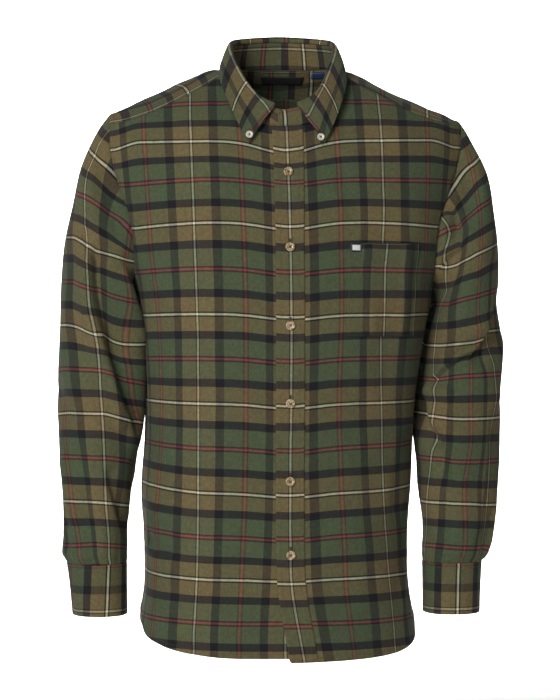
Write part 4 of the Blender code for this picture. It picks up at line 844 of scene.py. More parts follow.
def pucker(distance, way, seed):
    """Small waves of a sewn edge, which die out away from its seam."""
    return SEAM_PUCKER * np.exp(-(distance / PUCKER_REACH) ** 2) * ripple(way / PUCKER_LENGTH, 0 * way, seed)


def felled(distance):
    """How far the band beside a felled seam stands up."""
    return FELL_RISE * smooth(distance / FELL_FROM) * (1 - smooth((distance - FELL_WIDTH + FELL_END) / BAND_FADE))


def sunk(distance):
    return -SEAM_SINK * np.exp(-(distance / SEAM_HALF) ** 2)


def body_panel(coarse, folds, both_sides, weave, seed):
    """A front, or the back, with its folds."""
    grid = refined(coarse, PANEL, fine_columns(coarse.shape[1] - 1))
    points, u, z = grid[:, :, :3], grid[:, :, 3], grid[:, :, 4]
    across, down = ways_along(points, 1), ways_along(points, 0)
    from_side, from_top = across[:, -1:] - across, down[-1:] - down
    if both_sides:
        from_side = np.minimum(from_side, across)
    main, swallowed = fold_lift(u, z, folds)
    small = (BODY_RIPPLE * ripple(u / BODY_WAVES[0], z / BODY_WAVES[1], seed)
             + FINE_RIPPLE * ripple(u / FINE_WAVES[0], z / FINE_WAVES[1], seed + 1))
    lift = (main + small) * smooth(from_side / SEAM_CLEARANCE)
    lift += pucker(from_side, down, seed + 2) * smooth(from_side / EDGE_CLEARANCE)
    lift += pucker(from_top, across, seed + 3) + pucker(down, across, seed + 4)
    above = np.arange(len(points))[:, None] >= ARMPIT
    lift += sunk(from_side) + felled(from_side) * (above | both_sides)
    lift += both_sides * sunk(from_top) + HEM_RISE * (1 - smooth((down - HEM_WIDTH + HEM_END) / BAND_FADE))
    points = points + normals(points, points * LEVEL - BODY_AXIS) * lift[:, :, None]
    return Cloth(points, normals(points, points * LEVEL - BODY_AXIS), weave(u, z + swallowed))


def make_body():
    """The fronts, the back and the yoke, which share their seams' points and normals."""
    coarse_right, coarse_left = front_grid(-1), front_grid(1)
    coarse_back = back_grid(coarse_right, coarse_left)
    right = body_panel(coarse_right, FRONT_FOLDS, False, weave_of_front, 1)
    left = body_panel(coarse_left, FRONT_FOLDS, False, weave_of_front, 5)
    back = body_panel(coarse_back, BACK_FOLDS, True, weave_of_back, 9)
    side = slice(0, ARMPIT + 1)
    back.points[side, 0], back.points[side, -1] = right.points[side, -1], left.points[side, -1]

    coarse_yoke = yoke_grid(coarse_right[:, :, :3], coarse_left[:, :, :3], coarse_back[:, :, :3])
    points = refined(coarse_yoke, np.linspace(0, YOKE_CELLS, YOKE_ROWS + 1), fine_columns(coarse_yoke.shape[1] - 1))
    cells = right.points.shape[1] - NECK_CORNER * CELLS_PER_COLUMN
    front_edge = points[0].copy()
    front_edge[:cells] = right.points[-1, -cells:][::-1]
    front_edge[-cells:] = left.points[-1, -cells:]
    t = np.linspace(0, 1, YOKE_ROWS + 1)[:, None, None]
    points = points + (front_edge - points[0]) * (1 - t) ** 2 + (back.points[-1] - points[-1]) * t ** 2
    across, down = ways_along(points, 1), ways_along(points, 0)
    up = down[-1:] - down
    lift = BODY_RIPPLE * ripple(across / YOKE_WAVES[0], down / YOKE_WAVES[1], 13)
    lift *= smooth(down / YOKE_CLEARANCE) * smooth(up / YOKE_CLEARANCE)
    lift += felled(np.minimum(down, up)) + felled(np.minimum(across, across[:, -1:] - across))
    points = points + normals(points, UP) * lift[:, :, None]
    yoke = Cloth(points, normals(points, UP), weave_of_yoke(points, down))

    for a, b in ((right.normal[side, -1], back.normal[side, 0]), (left.normal[side, -1], back.normal[side, -1]),
                 (back.normal[-1], yoke.normal[-1]), (right.normal[-1, -cells:], yoke.normal[0, :cells][::-1]),
                 (left.normal[-1, -cells:], yoke.normal[0, -cells:])):
        a[:] = b[:] = unit(a + b)
    columns = np.arange(left.points.shape[1]) / CELLS_PER_COLUMN
    shares = np.interp(columns, np.arange(len(LIFT_SHARES)), LIFT_SHARES)
    left.points = left.points + left.normal * (FRONT_LIFT * shares)[:, None]
    return right, left, back, yoke


def make_sleeve(front, back_column, yoke_column, side):
    """A sleeve opened along its underarm seam: its columns run from there up the back and down the front."""
    loop = armhole_loop(front.points, back_column, yoke_column)
    tube, angle = sleeve_tube(loop, side)
    points = tube[:, [*range(LOOP_ARMPIT, len(loop)), *range(LOOP_ARMPIT + 1)]]
    angle = np.concatenate([angle[LOOP_ARMPIT:] - 2 * np.pi, angle[:LOOP_ARMPIT + 1]])

    def wrapped_normals():
        wrapped = np.concatenate([points[:, -2:-1], points, points[:, 1:2]], axis=1)
        return normals(wrapped, (wrapped - points.mean(axis=1, keepdims=True)) * LEVEL)[:, 1:-1]

    folds = SLEEVE_FOLDS[hand(side)] * (np.pi / 180 * SLEEVE_RADIUS, 1, np.pi / 180 * SLEEVE_RADIUS, *[1] * 6)
    onward = folds - np.multiply((1, 0, 1, *[0] * 6), 2 * np.pi * SLEEVE_RADIUS)
    across, z = np.broadcast_to(angle * SLEEVE_RADIUS, points.shape[:2]), points[:, :, 2]
    down, round_way = ways_along(points, 0), ways_along(points, 1)
    from_cuff, from_seam = down[-1:] - down, np.minimum(round_way, round_way[:, -1:] - round_way)
    main, swallowed = fold_lift(across, z, np.concatenate([folds, onward]))
    small = SLEEVE_RIPPLE * ripple(across / SLEEVE_WAVES[0], z / SLEEVE_WAVES[1], 20 + side)
    lift = (main + small) * smooth(down / SLEEVE_CLEARANCE) * smooth(from_cuff / SLEEVE_CLEARANCE)
    lift += pucker(down, round_way, 23 + side) + sunk(down) * smooth(down / SLEEVE_EDGE)
    lift += sunk(from_seam) + pucker(from_seam, down, 29 + side) * smooth(from_seam / EDGE_CLEARANCE)
    around = 4 * angle / np.pi
    gather = CUFF_GATHER * smooth(from_cuff / GATHER_FROM) * np.exp(-(from_cuff / GATHER_REACH) ** 2)
    lift += gather * ripple(around, 0 * around, 26 + side)
    weave = weave_of_sleeve(z + swallowed, angle, round_way, side)
    points = points + wrapped_normals() * lift[:, :, None]
    points[:, 0] = points[:, -1]
    return Cloth(points, wrapped_normals(), weave)


def make_cuff(side):
    """A band round the wrist whose upper end laps over the under one, cut with strong stripes down the arm."""
    share = np.linspace(0, 1, CUFF_COLUMNS + 1)
    angle = np.radians(CUFF_LAP_START) + np.radians(360 + CUFF_LAP_ANGLE) * share
    lap = (CUFF_WALL + 2 * LAYER_GAP) * smooth((share - CUFF_RISE_FROM) / CUFF_RISE_OVER)
    rows = []
    for z in np.linspace(CUFF_TOP, CUFF_BOTTOM, CUFF_ROWS + 1):
        base, opposite = (sleeve_ring(np.full(len(angle), z), angle + turn, side) for turn in (0, np.pi))
        rows.append(base + unit(base - opposite) * lap[:, None])
    points = np.array(rows)
    across = ways_along(points, 1)
    turned = np.radians(np.linspace(*CUFF_WHITE[hand(side)], CUFF_ROWS + 1) + 360)
    white = np.array([np.interp(place, angle, row) for place, row in zip(turned, across)])[:, None]
    weave = np.stack([(points[:, :, 2] - CUFF_WARP_WHITE) / WARP_HALF, (across - white) / WEFT_HALF], axis=-1)
    return Cloth(points, normals(points, (points - points.mean(axis=(0, 1))) * LEVEL), weave)


def neckline(right, left, yoke):
    """The neckline from the under end, round the back, to the upper end."""
    cells = NECK_CORNER * CELLS_PER_COLUMN
    corner = right.points.shape[1] - 1 - cells
    upper = np.interp(np.arange(cells + 1), (0, CELLS_PER_COLUMN, cells),
                      (UPPER_END * CELLS_PER_COLUMN, CELLS_PER_COLUMN, cells))
    behind = yoke.points[0, corner:-corner]
    return np.concatenate([right.points[-1, :cells + 1], behind[1:-1], spline(left.points[-1], upper)[::-1]])


def make_collar(line):
    """The stand on the neckline, and the leaf that rolls over it."""
    coarse = line[::CELLS_PER_COLUMN]
    stand = stand_grid(coarse)
    columns = fine_columns(len(coarse) - 1)
    stand = refined(stand, np.linspace(0, len(stand) - 1, STAND_ROWS + 1), columns)
    shares = np.linspace(1, 0, STAND_ROWS + 1)[:, None, None] ** 2
    stand = stand + (line + spline(lapped_out(coarse), columns) - stand[0]) * shares
    back = int(np.argmax(neck_shares(coarse)[0])) * CELLS_PER_COLUMN
    across, up = ways_along(stand, 1), ways_along(stand, 0)
    behind = across - across[:, back:back + 1]
    behind *= np.where(behind > 0, behind[:, -1].mean() / behind[:, -1:], behind[:, 0].mean() / behind[:, :1])
    weave = np.stack([(up[-1:] - up - line_of(STAND_WHITE, behind)) / WARP_HALF,
                      counted(behind, STAND_WEFT, STAND_WEFT_FIRST, WEFT_HALF) + 0 * up], axis=-1)
    stand = Cloth(stand, normals(stand, (stand - line.mean(axis=0)) * LEVEL), weave)

    leaf = leaf_grid(coarse)
    way = lengths(leaf[:, LEAF_CELLS // 4])
    rows = np.interp(np.linspace(0, way[-1], LEAF_ROWS + 1), way, np.arange(len(leaf)))
    columns = fine_columns(LEAF_CELLS)
    leaf = refined(leaf, rows, columns)
    t = np.linspace(0, 1, len(rows))[:, None]
    weave = np.stack([(ways_along(leaf, 0) - line_of(LEAF_WHITE, columns)) / LEAF_WARP_HALF,
                      counted(columns + 0 * t, between(LEAF_WEFT, t), LEAF_WEFT[0, 0], LEAF_HALF)], axis=-1)
    return stand, Cloth(leaf, normals(leaf, (leaf - line.mean(axis=0)) * LEVEL), weave)


# ---------------------------------------------------------------- pieces sewn onto the panels
PLACKET_RISE_SHARES = (0, 0.08, 0.15, 1)      # the placket's check sits higher than the front's, but lower at the hem
PLACKET_RISE = (-0.0035, -0.0025, 0.003, 0.0035)
POCKET_SHIFT, POCKET_TOP_SHIFT = 0.003, 0.002   # and the pocket's this much further to the left, and more at its top
POCKET_PUFF = 0.0016       # how far the pocket stands off at its middle
SLEEVE_PLACKET_Z = (-0.503, -0.6178)
TAB_PATCH_WALL, TAB_PATCH_OUT = 0.0004, 0.0006   # the plain pale patch woven into the pocket's tab
# Where they lie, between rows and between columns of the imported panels; the labels' columns count from the middle.
PLACKET_END = 0.02
POCKET_AT, POCKET_TAB_AT = ((7, 10), (5.23, 9)), ((9.7, 9.98), (5.36, 5.87))
NECK_LABEL_AT, SIZE_TAB_AT = ((0.95, 1.9), (-0.98, 1.22)), ((0.3, 1.15), (1.64, 2.75))
SLEEVE_PLACKET_AT = ARMPIT_ROW + 5.6, 0.4        # from a row of the back's armhole to one of the yoke's
TAB_PATCH_ROWS, TAB_PATCH_COLUMNS = (1.6, 6.6, 6), (1.9, 9.4, 8)                # on the tab's own grid


def panel_places(rows):
    """Where rows of a packed panel lie among the fine panel's rows."""
    return np.interp(rows, PANEL, np.arange(len(PANEL)))


def on_front(front, rows, columns, offset):
    """A trim on a front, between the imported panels' rows and columns."""
    return front.at(panel_places(np.linspace(*rows)), np.linspace(*columns) * CELLS_PER_COLUMN, offset)


def in_yoke(yoke, rows, columns):
    """A label inside the yoke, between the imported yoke's rows and its columns beside the middle."""
    middle = yoke.points.shape[1] // 2
    return yoke.at(np.linspace(*rows) * YOKE_ROWS / YOKE_CELLS, middle + np.linspace(*columns) * CELLS_PER_COLUMN,
                   IN_YOKE)


def make_trims(cloths):
    """The strips, the pocket, the labels and the tabs."""
    left = cloths["front_left"]
    columns = (1 - PLACKET_HALF / OVERLAP, 1 + PLACKET_HALF / FRONT["u_low"][2], PLACKET_COLUMNS)
    placket = on_front(left, (PLACKET_END, PANEL_ROWS - 1 - PLACKET_END, PLACKET_ROWS), columns, ON_CLOTH)
    rise = curve(np.linspace(0, 1, PLACKET_ROWS), PLACKET_RISE_SHARES, PLACKET_RISE)
    placket.weave[:, :, 1] += rise[:, None] / WEFT_HALF
    pocket = on_front(left, (*POCKET_AT[0], POCKET_ROWS), (*POCKET_AT[1], POCKET_COLUMNS), ON_CLOTH)
    shift = POCKET_SHIFT + POCKET_TOP_SHIFT * smooth(np.linspace(-2, 1, POCKET_ROWS))
    pocket.weave[:, :, 0] -= shift[:, None] / WARP_HALF
    dome = np.sin(np.pi * np.linspace(0, 1, POCKET_COLUMNS)) * smooth(np.linspace(0, 4, POCKET_ROWS))[:, None]
    pocket.points = pocket.points + pocket.normal * (POCKET_PUFF * dome)[:, :, None]
    cloths.update(placket=placket, pocket=pocket)
    share = (SLEEVE_TOP_ROW - np.linspace(*SLEEVE_PLACKET_Z, 50)) / (SLEEVE_TOP_ROW - SLEEVE_END_ROW)
    columns = np.linspace(panel_places(SLEEVE_PLACKET_AT[0]) - ARMPIT,
                          ROWS_ABOVE_ARMPIT + SLEEVE_PLACKET_AT[1] * YOKE_ROWS / YOKE_CELLS, 12)
    for name in ("right", "left"):
        sleeve = cloths["sleeve_" + name]
        cloths["sleeve_placket_" + name] = sleeve.at(HEAD_ROWS + UPPER_ROWS + share * TUBE_ROWS, columns, ON_CLOTH)
    cloths["neck_label"] = in_yoke(cloths["yoke"], (*NECK_LABEL_AT[0], 14), (*NECK_LABEL_AT[1], 24))
    cloths["size_tab"] = in_yoke(cloths["yoke"], (*SIZE_TAB_AT[0], 10), (*SIZE_TAB_AT[1], 12))
    cloths["pocket_tab"] = on_front(left, (*POCKET_TAB_AT[0], 9), (*POCKET_TAB_AT[1], 12), ON_TRIM)


def make_shirt():
    """Every piece of cloth, by name."""
    right, left, back, yoke = make_body()
    cloths = dict(front_right=right, front_left=left, back=back, yoke=yoke)
    for side, front, edge in ((-1, right, 0), (1, left, -1)):
        cloths["sleeve_" + hand(side)] = make_sleeve(front, back.points[:, edge], yoke.points[:, edge], side)
        cloths["cuff_" + hand(side)] = make_cuff(side)
    cloths["collar_stand"], cloths["collar_leaf"] = make_collar(neckline(right, left, yoke))
    make_trims(cloths)
    return cloths


# ================================================================ materials
def new_material(name, roughness, sheen=0.0, coat=0.0):
    """A material, its shader, and a maker of nodes for it."""
    material = bpy.data.materials.new(name)
    material.use_nodes = True
    shader = material.node_tree.nodes["Principled BSDF"]
    for socket, value in (("Roughness", roughness), ("Sheen Weight", sheen), ("Coat Weight", coat)):
        shader.inputs[socket].default_value = value
    return material, shader, Nodes(material.node_tree)


class Nodes:
    """Short ways to add nodes to a tree."""

    def __init__(self, tree):
        self.tree = tree

    def add(self, kind, inputs=(), **settings):
        node = self.tree.nodes.new("ShaderNode" + kind)
        for name, value in settings.items():
            setattr(node, name, value)
        for key, value in dict(inputs).items():
            if isinstance(value, bpy.types.NodeSocket):
                self.tree.links.new(value, node.inputs[key])
            else:
                node.inputs[key].default_value = value
        return node

    def math(self, operation, a, b=0.0, c=0.0):
        return self.add("Math", {0: a, 1: b, 2: c}, operation=operation).outputs[0]

    def noise(self, where, scale, detail=2.0, roughness=0.5):
        inputs = {"Vector": where, "Scale": scale, "Detail": detail, "Roughness": roughness}
        return self.add("TexNoise", inputs).outputs[0]

    def ramp(self, value, stops):
        node = self.add("ValToRGB", {0: value})
        ramp = node.color_ramp
        while len(ramp.elements) < len(stops):
            ramp.elements.new(0.5)
        for element, (place, colour) in zip(ramp.elements, stops):
            element.position = place
            element.color = (*colour, 1.0)
        return node.outputs[0]

    def mix(self, factor, a, b, mode="MIX"):
        return self.add("Mix", {0: factor, 6: a, 7: b}, data_type="RGBA", blend_type=mode).outputs[2]

    def finish(self, shader, colour, height, strength, distance):
        """Screen colours to the shader, and a bump where the height has a strength."""
        gamma = self.add("Gamma", {0: colour, 1: SCREEN_GAMMA}).outputs[0]
        self.tree.links.new(gamma, shader.inputs["Base Color"])
        if strength:
            bump = self.add("Bump", {"Height": height, "Strength": strength, "Distance": distance}).outputs[0]
            self.tree.links.new(bump, shader.inputs["Normal"])


def shade(red, green, blue):
    """A yarn's colour, as it is read off a screen, from 0 to 255."""
    return red / 255, green / 255, blue / 255


SCREEN_GAMMA = 2.2
WHITE, EDGE, GREEN = shade(228, 222, 200), shade(20, 15, 8), shade(75, 85, 62)
# Half a repeat of the check, from the middle of the white stripe to that of the red one: widths in 45ths.
SETTS = (
    ((1.0, WHITE), (1.1, EDGE), (14.8, shade(114, 101, 72)), (8.0, shade(21, 20, 23)), (17.4, GREEN),
     (1.0, shade(54, 24, 22)), (1.1, shade(106, 52, 50)), (0.6, shade(134, 76, 72))),               # the warp's
    ((1.1, WHITE), (1.6, EDGE), (14.3, shade(108, 94, 64)), (8.0, shade(15, 13, 24)), (17.2, GREEN),
     (0.9, EDGE), (0.9, shade(80, 17, 27)), (1.0, shade(126, 65, 76))),                             # the weft's
)
SOFT_EDGE = 0.004          # half the width, in half repeats, over which one colour turns into the next
WEFT_SHARE = 0.6           # how much of the surface the weft's yarns cover
TWILL_YARNS = 110          # yarns to a half repeat
TWILL_CONTRAST, NAP_CONTRAST, NAP_SCALE = 0.1, 0.16, 900.0
WOBBLE, WOBBLE_SCALE = 0.012, 90.0                 # how far a stripe's edge wanders, in half repeats
FUZZ_LEAST, FUZZ_RANGE, FUZZ_SCALE = 0.75, 0.5, 260.0   # the nap's soft lights and darks
YARN_TINTS = (1.0, 0.91, 0.86), (0.9, 1.0, 0.93)   # uneven dyeing, in streaks along the yarns
STREAKS = ((0.7, 34.0, 0.0), YARN_TINTS), ((26.0, 0.6, 0.0), YARN_TINTS[::-1])
TWILL_HEIGHT, NAP_BUMP, NAP_HEIGHT, NAP_BUMP_SCALE = 0.35, 0.35, 0.0004, 600.0
PLAIN_BUMP_SCALE, PLAIN_HEIGHT = 1500.0, 0.0003
PLAIN = dict(              # screen colours, how fine their changes are, roughness, coat and bump
    thread=(((58, 55, 40), (76, 72, 52)), 300, 0.8, 0, 0),
    moss_thread=(((122, 122, 84), (150, 146, 110)), 300, 0.8, 0, 0),
    pale_thread=(((150, 142, 112), (176, 168, 138)), 300, 0.8, 0, 0),
    # dark thread for the label's stitches, also laid along the buttonholes' slits as painted shade
    dark_thread_and_slit_shade=(((16, 16, 17), (30, 29, 28)), 300, 0.8, 0, 0),
    horn=(((84, 62, 40), (138, 112, 80), (186, 166, 132), (214, 204, 176)), 420, 0.32, 0.3, 0),
    pearl=(((168, 158, 138), (206, 199, 182), (224, 220, 206)), 300, 0.28, 0.4, 0),
    black_weave=(((20, 20, 22), (34, 33, 36)), 900, 0.7, 0, 0.4),
    blue_weave=(((34, 56, 92), (46, 70, 110)), 900, 0.8, 0, 0.4),
    navy_weave=(((20, 26, 40), (32, 40, 58)), 900, 0.8, 0, 0.4),
    pale_weave=(((196, 196, 190), (222, 221, 214)), 900, 0.8, 0, 0.4),
)


def sett_stops(sett):
    total = sum(width for width, _ in sett)
    stops, place = [(0.0, sett[0][1])], 0.0
    for (width, colour), (_, following) in zip(sett, sett[1:]):
        place += width / total
        stops += [(place - SOFT_EDGE, colour), (place + SOFT_EDGE, following)]
    return stops


def flannel_material(name):
    """The check, from the places in the weave, mixed yarn by yarn as a twill does, with a brushed nap."""
    material, shader, nodes = new_material(name, roughness=0.95, sheen=0.03)
    weave = nodes.add("UVMap", uv_map="weave").outputs[0]
    place = nodes.add("TexCoord").outputs["Object"]
    wobble = nodes.math("MULTIPLY_ADD", nodes.noise(place, WOBBLE_SCALE, 2.0), WOBBLE, -WOBBLE / 2)
    split = nodes.add("SeparateXYZ", {0: weave}).outputs
    colours = [nodes.ramp(nodes.math("PINGPONG", nodes.math("ADD", split[k], wobble), 1.0), sett_stops(sett))
               for k, sett in enumerate(SETTS)]
    diagonal = nodes.math("SUBTRACT", split[0], split[1])
    twill = nodes.math("SINE", nodes.math("MULTIPLY", diagonal, 2 * np.pi * TWILL_YARNS / 4))
    cover = nodes.math("MULTIPLY_ADD", twill, TWILL_CONTRAST, WEFT_SHARE)
    nap = nodes.math("MULTIPLY_ADD", nodes.noise(place, NAP_SCALE, 3.0, 0.6), NAP_CONTRAST, -NAP_CONTRAST / 2)
    cover = nodes.math("ADD", cover, nap)
    fuzz = nodes.math("MULTIPLY_ADD", nodes.noise(place, FUZZ_SCALE, 4.0, 0.65), FUZZ_RANGE, FUZZ_LEAST)
    fuzz = nodes.add("CombineXYZ", {0: fuzz, 1: fuzz, 2: fuzz}).outputs[0]
    blend = nodes.mix(1.0, nodes.mix(cover, *colours), fuzz, "MULTIPLY")
    for stretch, tints in STREAKS:
        yarns = nodes.add("VectorMath", {0: weave, 1: stretch}, operation="MULTIPLY").outputs[0]
        stops = [(0.32, tints[0]), (0.5, (0.95, 0.95, 0.95)), (0.68, tints[1])]
        blend = nodes.mix(1.0, blend, nodes.ramp(nodes.noise(yarns, 1.0, 3.0, 0.7), stops), "MULTIPLY")
    height = nodes.math("ADD", nodes.math("MULTIPLY", twill, TWILL_HEIGHT),
                        nodes.noise(place, NAP_BUMP_SCALE, 4.0, 0.7))
    nodes.finish(shader, blend, height, NAP_BUMP, NAP_HEIGHT)
    return material


def plain_material(name, colours, scale, roughness, coat, bump):
    """An even finish with soft changes of colour between two or more screen colours."""
    material, shader, nodes = new_material(name, roughness, coat=coat)
    place = nodes.add("TexCoord").outputs["Object"]
    stops = [(0.3 + 0.4 * k / (len(colours) - 1), shade(*colour)) for k, colour in enumerate(colours)]
    colour = nodes.ramp(nodes.noise(place, scale, 3.0, 0.6), stops)
    height = nodes.noise(place, PLAIN_BUMP_SCALE, 2.0) if bump else None
    nodes.finish(shader, colour, height, bump, PLAIN_HEIGHT)
    return material


# ================================================================ from grids to closed shells
RIM_OUT = 0.28             # how far a cloth's edge is rounded out, of its thickness
SEAM_GAP = -0.0003         # below zero: neighbours overlap in their seam


def shell(name, cloth, thickness, material, slot_name, *nodes, inner_cut=(0.0, 0.0)):
    """A closed piece of cloth, half its thickness to either side of its grid, with a rounded edge."""
    rows, count = cloth.points.shape[:2]
    index = np.arange(rows * count).reshape(rows, count)
    rim = np.concatenate([index[0], index[1:, -1], index[-1, -2::-1], index[-2:0:-1, 0]])
    out = np.zeros_like(cloth.points)
    for edge, next_to_it in (((0,), (1,)), ((-1,), (-2,)), ((slice(None), 0), (slice(None), 1)),
                             ((slice(None), -1), (slice(None), -2))):
        out[edge] += unit(cloth.points[edge] - cloth.points[next_to_it])
    edge = cloth.points - out * (thickness * RIM_OUT + SEAM_GAP / 2)
    layers = [edge + cloth.normal * thickness / 2, edge - cloth.normal * thickness / 2]
    points = np.concatenate([*(layer.reshape(-1, 3) for layer in layers),
                             (edge + out * thickness * RIM_OUT).reshape(-1, 3)[rim]])
    weave = cloth.weave.reshape(-1, 2)
    weave = np.concatenate([weave, weave + inner_cut, weave[rim]])
    a, b, c, d = (index[r, k].ravel() for r, k in ((slice(-1), slice(-1)), (slice(-1), slice(1, None)),
                                                   (slice(1, None), slice(1, None)), (slice(1, None), slice(-1))))
    under, middle = rows * count, 2 * rows * count + np.arange(len(rim))
    after, middle_after = np.roll(rim, -1), np.roll(middle, -1)
    quads = np.concatenate([np.stack(corners, axis=1) for corners in (
        (a, b, c, d), (under + a, under + d, under + c, under + b),
        (rim, middle, middle_after, after), (middle, under + rim, under + after, middle_after))])
    r, k = rows // 2, count // 2
    turn = np.cross(cloth.points[r, k + 1] - cloth.points[r, k], cloth.points[r + 1, k] - cloth.points[r, k])
    if np.dot(turn, cloth.normal[r, k]) < 0:
        quads = quads[:, ::-1]
    piece = add_mesh(name, points, quads, material)
    layer = piece.data.uv_layers.new(name="weave")
    layer.data.foreach_set("uv", weave[quads.ravel()].astype(np.float32).ravel())
    settle(piece, slot_name, *nodes)
    return piece


def add_object(name, data):
    thing = bpy.data.objects.new(name, data)
    bpy.context.scene.collection.objects.link(thing)
    return thing


def add_mesh(name, points, faces, material):
    """A smooth mesh from arrays of points and of faces that all have as many corners."""
    mesh = bpy.data.meshes.new(name)
    faces = np.asarray(faces, dtype=np.int32)
    mesh.vertices.add(len(points))
    mesh.vertices.foreach_set("co", np.asarray(points, dtype=np.float32).ravel())
    mesh.loops.add(faces.size)
    mesh.loops.foreach_set("vertex_index", faces.ravel())
    mesh.polygons.add(len(faces))
    mesh.polygons.foreach_set("loop_start", np.arange(0, faces.size, faces.shape[1], dtype=np.int32))
    mesh.update(calc_edges=True)
    mesh.shade_smooth()
    mesh.materials.append(material)
    return add_object(name, mesh)


def settle(piece, slot_name, *nodes):
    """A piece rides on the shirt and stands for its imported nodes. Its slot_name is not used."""
    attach(piece, "root")
    if nodes:
        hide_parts(*nodes)


PIECES = dict(   # wall, material, slot, the flat cut's width, length and area, and what the piece hangs from
    yoke=(YOKE_WALL, "flannel", "flannel", 0.585, 0.142, 0.0505, ()),
    front_right=(CLOTH, "flannel", "flannel", 0.33, 0.765, 0.177, "yoke"),
    front_left=(CLOTH, "flannel", "flannel", 0.34, 0.77, 0.173, "yoke"),
    back=(CLOTH, "flannel", "flannel", 0.54, 0.74, 0.333, "yoke"),
    sleeve_right=(CLOTH, "flannel", "flannel", 0.595, 0.59, 0.17, "yoke"),
    sleeve_left=(CLOTH, "flannel", "flannel", 0.595, 0.59, 0.17, "yoke"),
    cuff_right=(CUFF_WALL, "flannel", "trim_flannel", 0.272, 0.066, 0.0172, "sleeve_right"),
    cuff_left=(CUFF_WALL, "flannel", "trim_flannel", 0.276, 0.066, 0.0175, "sleeve_left"),
    sleeve_placket_right=(TRIM_WALL, "flannel", "trim_flannel", 0.026, 0.122, 0.0029, "sleeve_right"),
    sleeve_placket_left=(TRIM_WALL, "flannel", "trim_flannel", 0.026, 0.122, 0.0029, "sleeve_left"),
    collar_stand=(COLLAR_WALL, "flannel", "trim_flannel", 0.546, 0.036, 0.0142, "yoke"),
    collar_leaf=(COLLAR_WALL, "flannel", "trim_flannel", 0.555, 0.07, 0.0229, "collar_stand"),
    placket=(TRIM_WALL, "flannel", "trim_flannel", 0.037, 0.668, 0.0236, "front_left"),
    pocket=(TRIM_WALL, "flannel", "trim_flannel", 0.102, 0.117, 0.0118, "front_left"),
    pocket_tab=(LABEL_WALL, "navy_weave", "blue_tape", 0.0145, 0.0105, 0.00015, "pocket"),
    neck_label=(LABEL_WALL, "black_weave", "label", 0.0565, 0.0135, 0.00065, "yoke"),
    size_tab=(LABEL_WALL, "blue_weave", "blue_tape", 0.025, 0.015, 0.00028, "yoke"),
)

cloths = make_shirt()
materials = {name: plain_material(name, *finish) for name, finish in PLAIN.items()}
materials["flannel"] = flannel_material("flannel")
for name, cloth in cloths.items():
    wall, material, slot_name = PIECES[name][:3]
    piece_name = "cloth_" + name if material == "flannel" else name + "_cloth"
    inner_cut = INNER_YOKE if name == "yoke" else (0.0, 0.0)
    shell(piece_name, cloth, wall, materials[material], slot_name, name, inner_cut=inner_cut)
tab_patch = cloths["pocket_tab"].at(np.linspace(*TAB_PATCH_ROWS), np.linspace(*TAB_PATCH_COLUMNS), TAB_PATCH_OUT)
shell("pocket_tab_patch", tab_patch, TAB_PATCH_WALL, materials["pale_weave"], "blue_tape")


# ---------------------------------------------------------------- stitches
STITCH_PITCH, STITCH_LENGTH, STITCH_RADIUS = 0.003, 0.0024, 0.00026
STITCH_PROFILE = ((-0.5, -1.0, 0.45), (-0.3, 0.35, 1.0), (0.3, 0.35, 1.0), (0.5, -1.0, 0.45))   # along, up, radius


def sampled(grid, rows, columns):
    """A grid's values at single places."""
    r = np.clip(np.floor(rows).astype(int), 0, grid.shape[0] - 2)
    c = np.clip(np.floor(columns).astype(int), 0, grid.shape[1] - 2)
    s, t = (rows - r)[:, None], (columns - c)[:, None]
    near, far = (grid[k, c] * (1 - t) + grid[k, c + 1] * t for k in (r, r + 1))
    return near * (1 - s) + far * s


def beside(cloth, edge, distance, start=0.0, stop=1.0):
    """Places of a line that runs beside one edge of a cloth, from start to stop as shares of that edge."""
    along_rows = edge in ("first_column", "last_column")
    ways = ways_along(cloth.points, 1) if along_rows else ways_along(cloth.points, 0).T
    index = np.arange(ways.shape[1])
    if edge.startswith("last"):
        ways, index = (ways[:, -1:] - ways)[:, ::-1], index[::-1]
    count = ways.shape[0] - 1
    places = np.arange(int(round(start * count)), int(round(stop * count)) + 1)
    across = np.array([np.interp(distance, ways[k], index) for k in places])
    return (places, across) if along_rows else (across, places)


def stitches_on(name, *lines, inside=False, pitch=STITCH_PITCH):
    """Middles, directions and normals of the stitches along lines beside a cloth's edges, line by line."""
    cloth, face = cloths[name], -1 if inside else 1
    found = []
    for line in lines:
        rows, columns = (np.asarray(v, float) for v in beside(cloth, *line))
        normal = unit(sampled(cloth.normal, rows, columns)) * face
        points = sampled(cloth.points, rows, columns) + normal * PIECES[name][0] / 2
        way = lengths(points)
        count = max(2, int(way[-1] / pitch))
        at = (np.arange(count) + 0.5) * way[-1] / count
        ahead = (along(points, way, np.minimum(at + pitch / 2, way[-1]))
                 - along(points, way, np.maximum(at - pitch / 2, 0)))
        found.append((along(points, way, at), unit(ahead), unit(along(normal, way, at))))
    return found


def outline(name, distance):
    """Four lines inside a cloth's edges, which meet at its corners."""
    points = cloths[name].points
    up = distance / ways_along(points, 0)[-1].mean()
    over = distance / ways_along(points, 1)[:, -1].mean()
    return [(edge, distance, share, 1 - share) for edge, share in
            (("first_column", up), ("last_column", up), ("first_row", over), ("last_row", over))]


